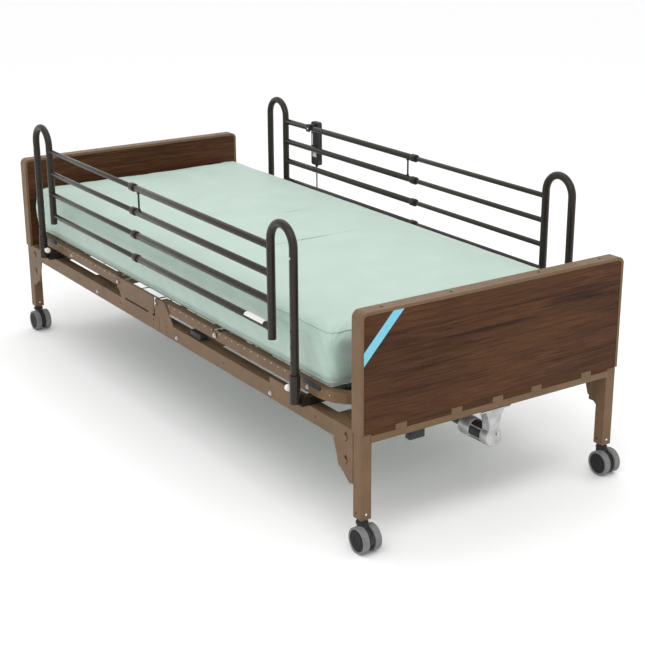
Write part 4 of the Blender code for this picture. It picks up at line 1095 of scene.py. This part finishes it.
front = -BOARD_Y - 0.0160
parts = neck(-1)
parts.append(bar("bell", (0, front, MOTOR_Z), (0, front + 0.0330, MOTOR_Z), 0.0290, CAST, 48, 0.0050))
parts.append(bar(
    "windings", (0, front + 0.0300, MOTOR_Z), (0, front + 0.0800, MOTOR_Z), 0.0280, BLACK_PLASTIC, 48, 0.0006,
))
parts.append(bar(
    "drum", (0, front + 0.0770, MOTOR_Z), (0, front + 0.1270, MOTOR_Z), 0.0296, CAST, 48, 0.0045,
))
for angle in (20, 140, 200, 320):
    x, z = 0.0278 * math.cos(math.radians(angle)), MOTOR_Z + 0.0278 * math.sin(math.radians(angle))
    parts.append(bar("long_screw", (x, front + 0.026, z), (x, front + 0.082, z), 0.0020, ZINC, 12, 0.0003))
# A near-black block on the bell's end: painted shade in a screw slot.
parts.append(block(
    "screw_slot", (0.0050, front - 0.0004, MOTOR_Z + 0.004), (0.0086, front + 0.002, MOTOR_Z + 0.013), HOLE_SHADE, 0.0004,
))
parts.append(bar(
    "cap_screw", (-0.012, front - 0.0010, MOTOR_Z - 0.011), (-0.012, front + 0.002, MOTOR_Z - 0.011), 0.0032, ZINC, 16, 0.0005,
))
motor = join("height_motor", parts)
head_front = BOARD_Y + 0.0140
gears = neck(1) + [
    bar("gear_case", (0, BOARD_Y - 0.0240, MOTOR_Z), (0, head_front, MOTOR_Z), 0.0290, CAST, 48, 0.0045),
    bar(
        "case_seam", (0, BOARD_Y - 0.0060, MOTOR_Z), (0, BOARD_Y - 0.0040, MOTOR_Z), 0.0297, CAST, 48, 0.0004,
    ),
    bar(
        "case_screw", (0.012, head_front - 0.001, MOTOR_Z + 0.012), (0.012, head_front + 0.0012, MOTOR_Z + 0.012), 0.0032, ZINC, 16, 0.0005,
    ),
]
gearbox = join("head_gear_case", gears)
for piece, node in ((motor, "hi_lo_motor"), (gearbox, "head_gearbox")):
    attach(piece, "frame")
    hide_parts(node)

# %% [markdown]
# ## Hand control
#
# A slim black handset with a rounded foot, grooved edges and a hook that
# hangs it on the top bar. The six keys are the CAD's, which press in.

# %% Hand control
PENDANT_X, PENDANT_Y, PENDANT_Z = (0.508, 0.528), (0.542, 0.590), (0.616, 0.790)
mid_y = sum(PENDANT_Y) / 2
body = block(
    "handset", (PENDANT_X[0], PENDANT_Y[0], PENDANT_Z[0] + 0.008), (PENDANT_X[1], PENDANT_Y[1], PENDANT_Z[1]), BLACK_PLASTIC, 0,
)
pick_edges(body, lambda a, b: abs(a.x - b.x) > 0.01)
bpy.ops.mesh.bevel(offset=0.009, segments=6, profile=0.5)
bpy.ops.object.mode_set(mode="OBJECT")
round_edges(body, 0.0022, 3)
parts = [smooth(body)]
parts.append(bar(
    "cord_boss", (0.518, 0.566, 0.6162), (0.518, 0.566, 0.628), 0.0052, BLACK_PLASTIC, 24, 0.0012,
))
for step in range(9):
    z = 0.655 + step * 0.009
    for y in (PENDANT_Y[0] - 0.0003, PENDANT_Y[1] + 0.0003):
        parts.append(bar("grip_rib", (0.5105, y, z), (0.5255, y, z), 0.0010, BLACK_PLASTIC, 8, 0))
hook = ((0.4773, 0.7560, 0.4808, 0.7827), (0.4773, 0.7800, 0.5090, 0.7827))
for x_low, z_low, x_high, z_high in hook:
    parts.append(block(
        "hook", (x_low, mid_y - 0.012, z_low), (x_high, mid_y + 0.012, z_high), BLACK_PLASTIC, 0.0008,
    ))
parts.append(bar(
    "hook_screw", (0.4762, mid_y, 0.7680), (0.4780, mid_y, 0.7680), 0.0032, WHITE_PLASTIC, 16, 0.0004,
))
parts.append(block("blank_strip", (0.5076, 0.5770, 0.7000), (0.5083, 0.5850, 0.7450), LABEL, 0))
parts.append(block("blank_label", (0.5076, 0.5530, 0.6560), (0.5083, 0.5790, 0.6790), LABEL, 0))
handset = join("handset", parts)
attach(handset, "far_rail_thick")
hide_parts("pendant_housing")

# %% [markdown]
# ## Sockets and release knobs
#
# The rails' long legs stand in tube sockets at the ends of a crossbar. A
# white sprung knob pulls the pin that holds each leg. The crossbar is the
# CAD's channel; a rolled lip, a weld and the knob are drawn here.

# %% Sockets and knobs
for label, end, body in (("head", 1, "frame"), ("foot", -1, "rail_mount_foot")):
    y = end * (HOOP_Y + HOOP_RADIUS)
    parts = []
    for side in (-1, 1):
        x = side * SIDE_X
        for height in (0.3535, 0.4325):
            bpy.ops.object.select_all(action="DESELECT")
            bpy.ops.mesh.primitive_torus_add(
                major_radius=0.0140, minor_radius=0.0016, major_segments=40, minor_segments=10,
                location=at(x, y, height),
            )
            parts.append(smooth(settle("lip", RAIL_BROWN), 60))
        out, inside = side * 0.4785, side * 0.4700
        parts.append(block(
            "socket_gusset", (min(out, inside), y - 0.0120, 0.3440), (max(out, inside), y + 0.0120, 0.3750), RAIL_BROWN, 0.0010,
        ))
    rims = join(f"{label}_socket_rims", parts)
    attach(rims, body)
    for hand, side in (("near", -1), ("far", 1)):
        node = f"release_knob_{label}_{hand}"
        knob_y = y - end * 0.0153
        steps = ((0.000, 0.011, 0.0050), (0.0095, 0.0125, 0.0078), (0.012, 0.0260, 0.0095))
        knob = [
            bar(
                "knob", (side * SIDE_X, knob_y - end * a, 0.386), (side * SIDE_X, knob_y - end * b, 0.386), r, WHITE_PLASTIC, 36, 0.0009 if r < 0.009 else 0.0028,
            )
            for a, b, r in steps
        ]
        made = join(f"{label}_{hand}_knob", knob)
        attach(made, node)
        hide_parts(node)

# %% [markdown]
# ## Bolts, rivets and small brackets
#
# Hardware is what makes steelwork read as built. A hex bolt with its washer
# is built, each with its own mesh, at every place where the frame is bolted.

# %% Bolts and pins on the frame and deck
def hex_bolt(name, x, y, z, side, size=0.0060):
    """A bolt head and washer on an outer face. side is the way it looks."""
    washer = bar("washer", (x, y, z), (x + side * 0.0012, y, z), size * 1.45, ZINC, 28, 0.0003)
    head = bar("head", (x + side * 0.001, y, z), (x + side * 0.0048, y, z), size, ZINC, 6, 0.0007)
    return [washer, head]


groups = {"frame": [], "back_section": [], "thigh_section": [], "calf_section": []}
for side in (-1, 1):
    rail_face, deck_face = side * 0.4545, side * 0.4505
    for y in (0.485, -0.103, -0.667):
        groups["frame"] += hex_bolt("bolt", rail_face, y, 0.310, side, 0.0048)
    for y, z in ((0.060, 0.327), (0.060, 0.309), (-0.030, 0.327), (-0.030, 0.309)):
        groups["frame"].append(bar(
            "splice_rivet", (rail_face, y, z), (rail_face + side * 0.0014, y, z), 0.0036, BROWN, 20, 0.0008,
        ))
    # Near-black discs on the rails: painted shade in the small holes.
    for y in (0.640, 0.300, -0.400, -0.900):
        groups["frame"].append(bar(
            "small_hole", (rail_face - side * 0.001, y, 0.318), (rail_face + side * 0.0002, y, 0.318), 0.0030, HOLE_SHADE, 16, 0,
        ))
    for group, y in (("frame", 0.312), ("frame", 0.032), ("thigh_section", -0.350)):
        groups[group] += hex_bolt("hinge_bolt", side * 0.4546, y, 0.391, side, 0.0058)
    groups["calf_section"] += hex_bolt("deck_bolt", deck_face, -0.857, 0.390, side, 0.0045)
    groups["back_section"] += hex_bolt("deck_bolt", deck_face, 0.700, 0.390, side, 0.0045)
    low, high = sorted((side * 0.4500, side * 0.4562))
    groups["frame"].append(block(
        "stop_bracket", (low, -0.775, 0.3410), (high, -0.665, 0.3600), BROWN, 0.0012,
    ))
    low, high = sorted((side * 0.4200, side * 0.4490))
    groups["frame"].append(block(
        "rest_bumper", (low, -0.247, 0.3412), (high, -0.180, 0.3615), BLACK_PLASTIC, 0.0040,
    ))
HOOK_RUNS = (
    ("back_section", 0.345, 0.990), ("thigh_section", -0.325, -0.010), ("calf_section", -0.965, -0.375),
)
for group, first, last in HOOK_RUNS:
    count = round((last - first) / 0.038)
    for side in (-1, 1):
        for step in range(count + 1):
            y = first + (last - first) * step / count
            groups[group].append(bar(
                "spring_hook", (side * 0.4505, y, 0.4015), (side * 0.4521, y, 0.4015), 0.0021, ZINC, 10, 0,
            ))
for group, y in (("back_section", 0.8775), ("calf_section", -0.8775)):
    for side in (-1, 1):
        low, high = sorted((side * 0.4495, side * 0.4545))
        groups[group].append(block(
            "saddle", (low, y - 0.0420, 0.3985), (high, y + 0.0420, 0.4125), BLACK_PLASTIC, 0.0012,
        ))
groups["frame"].append(block(
    "channel_clip", (-0.290, -BOARD_Y - 0.012, 0.2820), (-0.240, -BOARD_Y + 0.012, 0.3108), BLACK_PLASTIC, 0.0030,
))
for body, parts in groups.items():
    made = join(f"{body}_hardware", parts)
    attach(made, body)
    print(made.name, len(made.data.polygons), "faces")

# %% [markdown]
# ## Blank labels
#
# The real bed carries printed stickers. They are kept as blank sheets of the
# same size and colour, with no words on them.

# %% Blank labels
def trim(piece, place, normal):
    """Cuts away what lies beyond a plane, and closes the cut."""
    make_active(piece)
    bpy.ops.object.mode_set(mode="EDIT")
    bpy.ops.mesh.select_all(action="SELECT")
    bpy.ops.mesh.bisect(plane_co=at(*place), plane_no=normal, use_fill=True, clear_outer=True)
    bpy.ops.object.mode_set(mode="OBJECT")


clear_selection()
bpy.ops.mesh.primitive_cube_add(
    size=1, location=at(-0.3920, -BOARD_Y - 0.0201, 0.6055), rotation=(0, math.radians(-47), 0),
    scale=(0.24, 0.0007, 0.0250),
)
sticker = settle("foot_label", BLUE_LABEL)
trim(sticker, (-0.4478, 0, 0), (-1, 0, 0))
trim(sticker, (0, 0, 0.6625), (0, 0, 1))
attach(sticker, "frame")


def sewn_tag(name, low, high, inward, body):
    """A blank cloth tag that lies on the cover. inward points into the cover."""
    tag = block(name, low, high, LABEL, edge=0)
    make_active(tag)
    bpy.ops.object.mode_set(mode="EDIT")
    bpy.ops.mesh.select_all(action="SELECT")
    bpy.ops.mesh.subdivide(number_cuts=7)
    bpy.ops.object.mode_set(mode="OBJECT")
    cover, inward = bpy.data.objects["mattress_foot_third"], Vector(inward)
    middle = (at(*low) + at(*high)) / 2
    for vertex in tag.data.vertices:
        depth = (vertex.co - middle).dot(inward)
        hit, place, _, _ = cover.ray_cast(vertex.co - inward * (depth + 0.05), inward)
        if hit:
            vertex.co = place + inward * (depth - 0.0004)
    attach(tag, body)
    print(name, "laid on the cover")


bpy.context.view_layer.update()
sewn_tag("top_tag", (-0.050, -0.955, 0.5757), (0.070, -0.890, 0.5763), (0, 0, -1), "calf_section")
bar_label = bar("bar_label", (-SIDE_X, -0.710, BAR_Z[3]), (-SIDE_X, -0.609, BAR_Z[3]), 0.0108, LABEL, 40, 0)
trim(bar_label, (-SIDE_X - 0.0013, 0, BAR_Z[3] + 0.0048), (0.26, 0, -0.966))
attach(bar_label, "near_rail_thick")

# %% [markdown]
# ## Room and light
#
# A pale floor and soft light from a large panel above and in front of the
# bed, with a weaker one from the other side, as in a product picture.

# %% Floor and lights
floor_look, tree, shader = new_finish("floor", (0.985, 0.985, 0.985), 0.75)
clear_selection()
bpy.ops.mesh.primitive_plane_add(size=60, location=(0, 0, 0))
floor = settle("floor", floor_look)

world = bpy.data.worlds.new("studio")
bpy.context.scene.world = world
world.use_nodes = True
world.node_tree.nodes["Background"].inputs["Color"].default_value = (1, 1, 1, 1)
world.node_tree.nodes["Background"].inputs["Strength"].default_value = 1.0


def soft_light(name, place, size, power, aim=(0, 0, 0.45)):
    clear_selection()
    bpy.ops.object.light_add(type="AREA", location=place)
    light = bpy.context.object
    light.name = name
    light.data.shape = "RECTANGLE"
    light.data.size, light.data.size_y = size
    light.data.energy = power
    aim_at = Vector(aim) - Vector(place)
    light.rotation_euler = aim_at.to_track_quat("-Z", "Y").to_euler()
    return light


soft_light("key", (-1.6, -2.2, 3.4), (3.2, 2.4), 40)
soft_light("fill", (3.0, -1.5, 2.6), (3.0, 2.4), 6)
soft_light("top", (0.2, 0.8, 3.6), (3.4, 3.4), 26)
bpy.context.scene.view_settings.view_transform = "Standard"
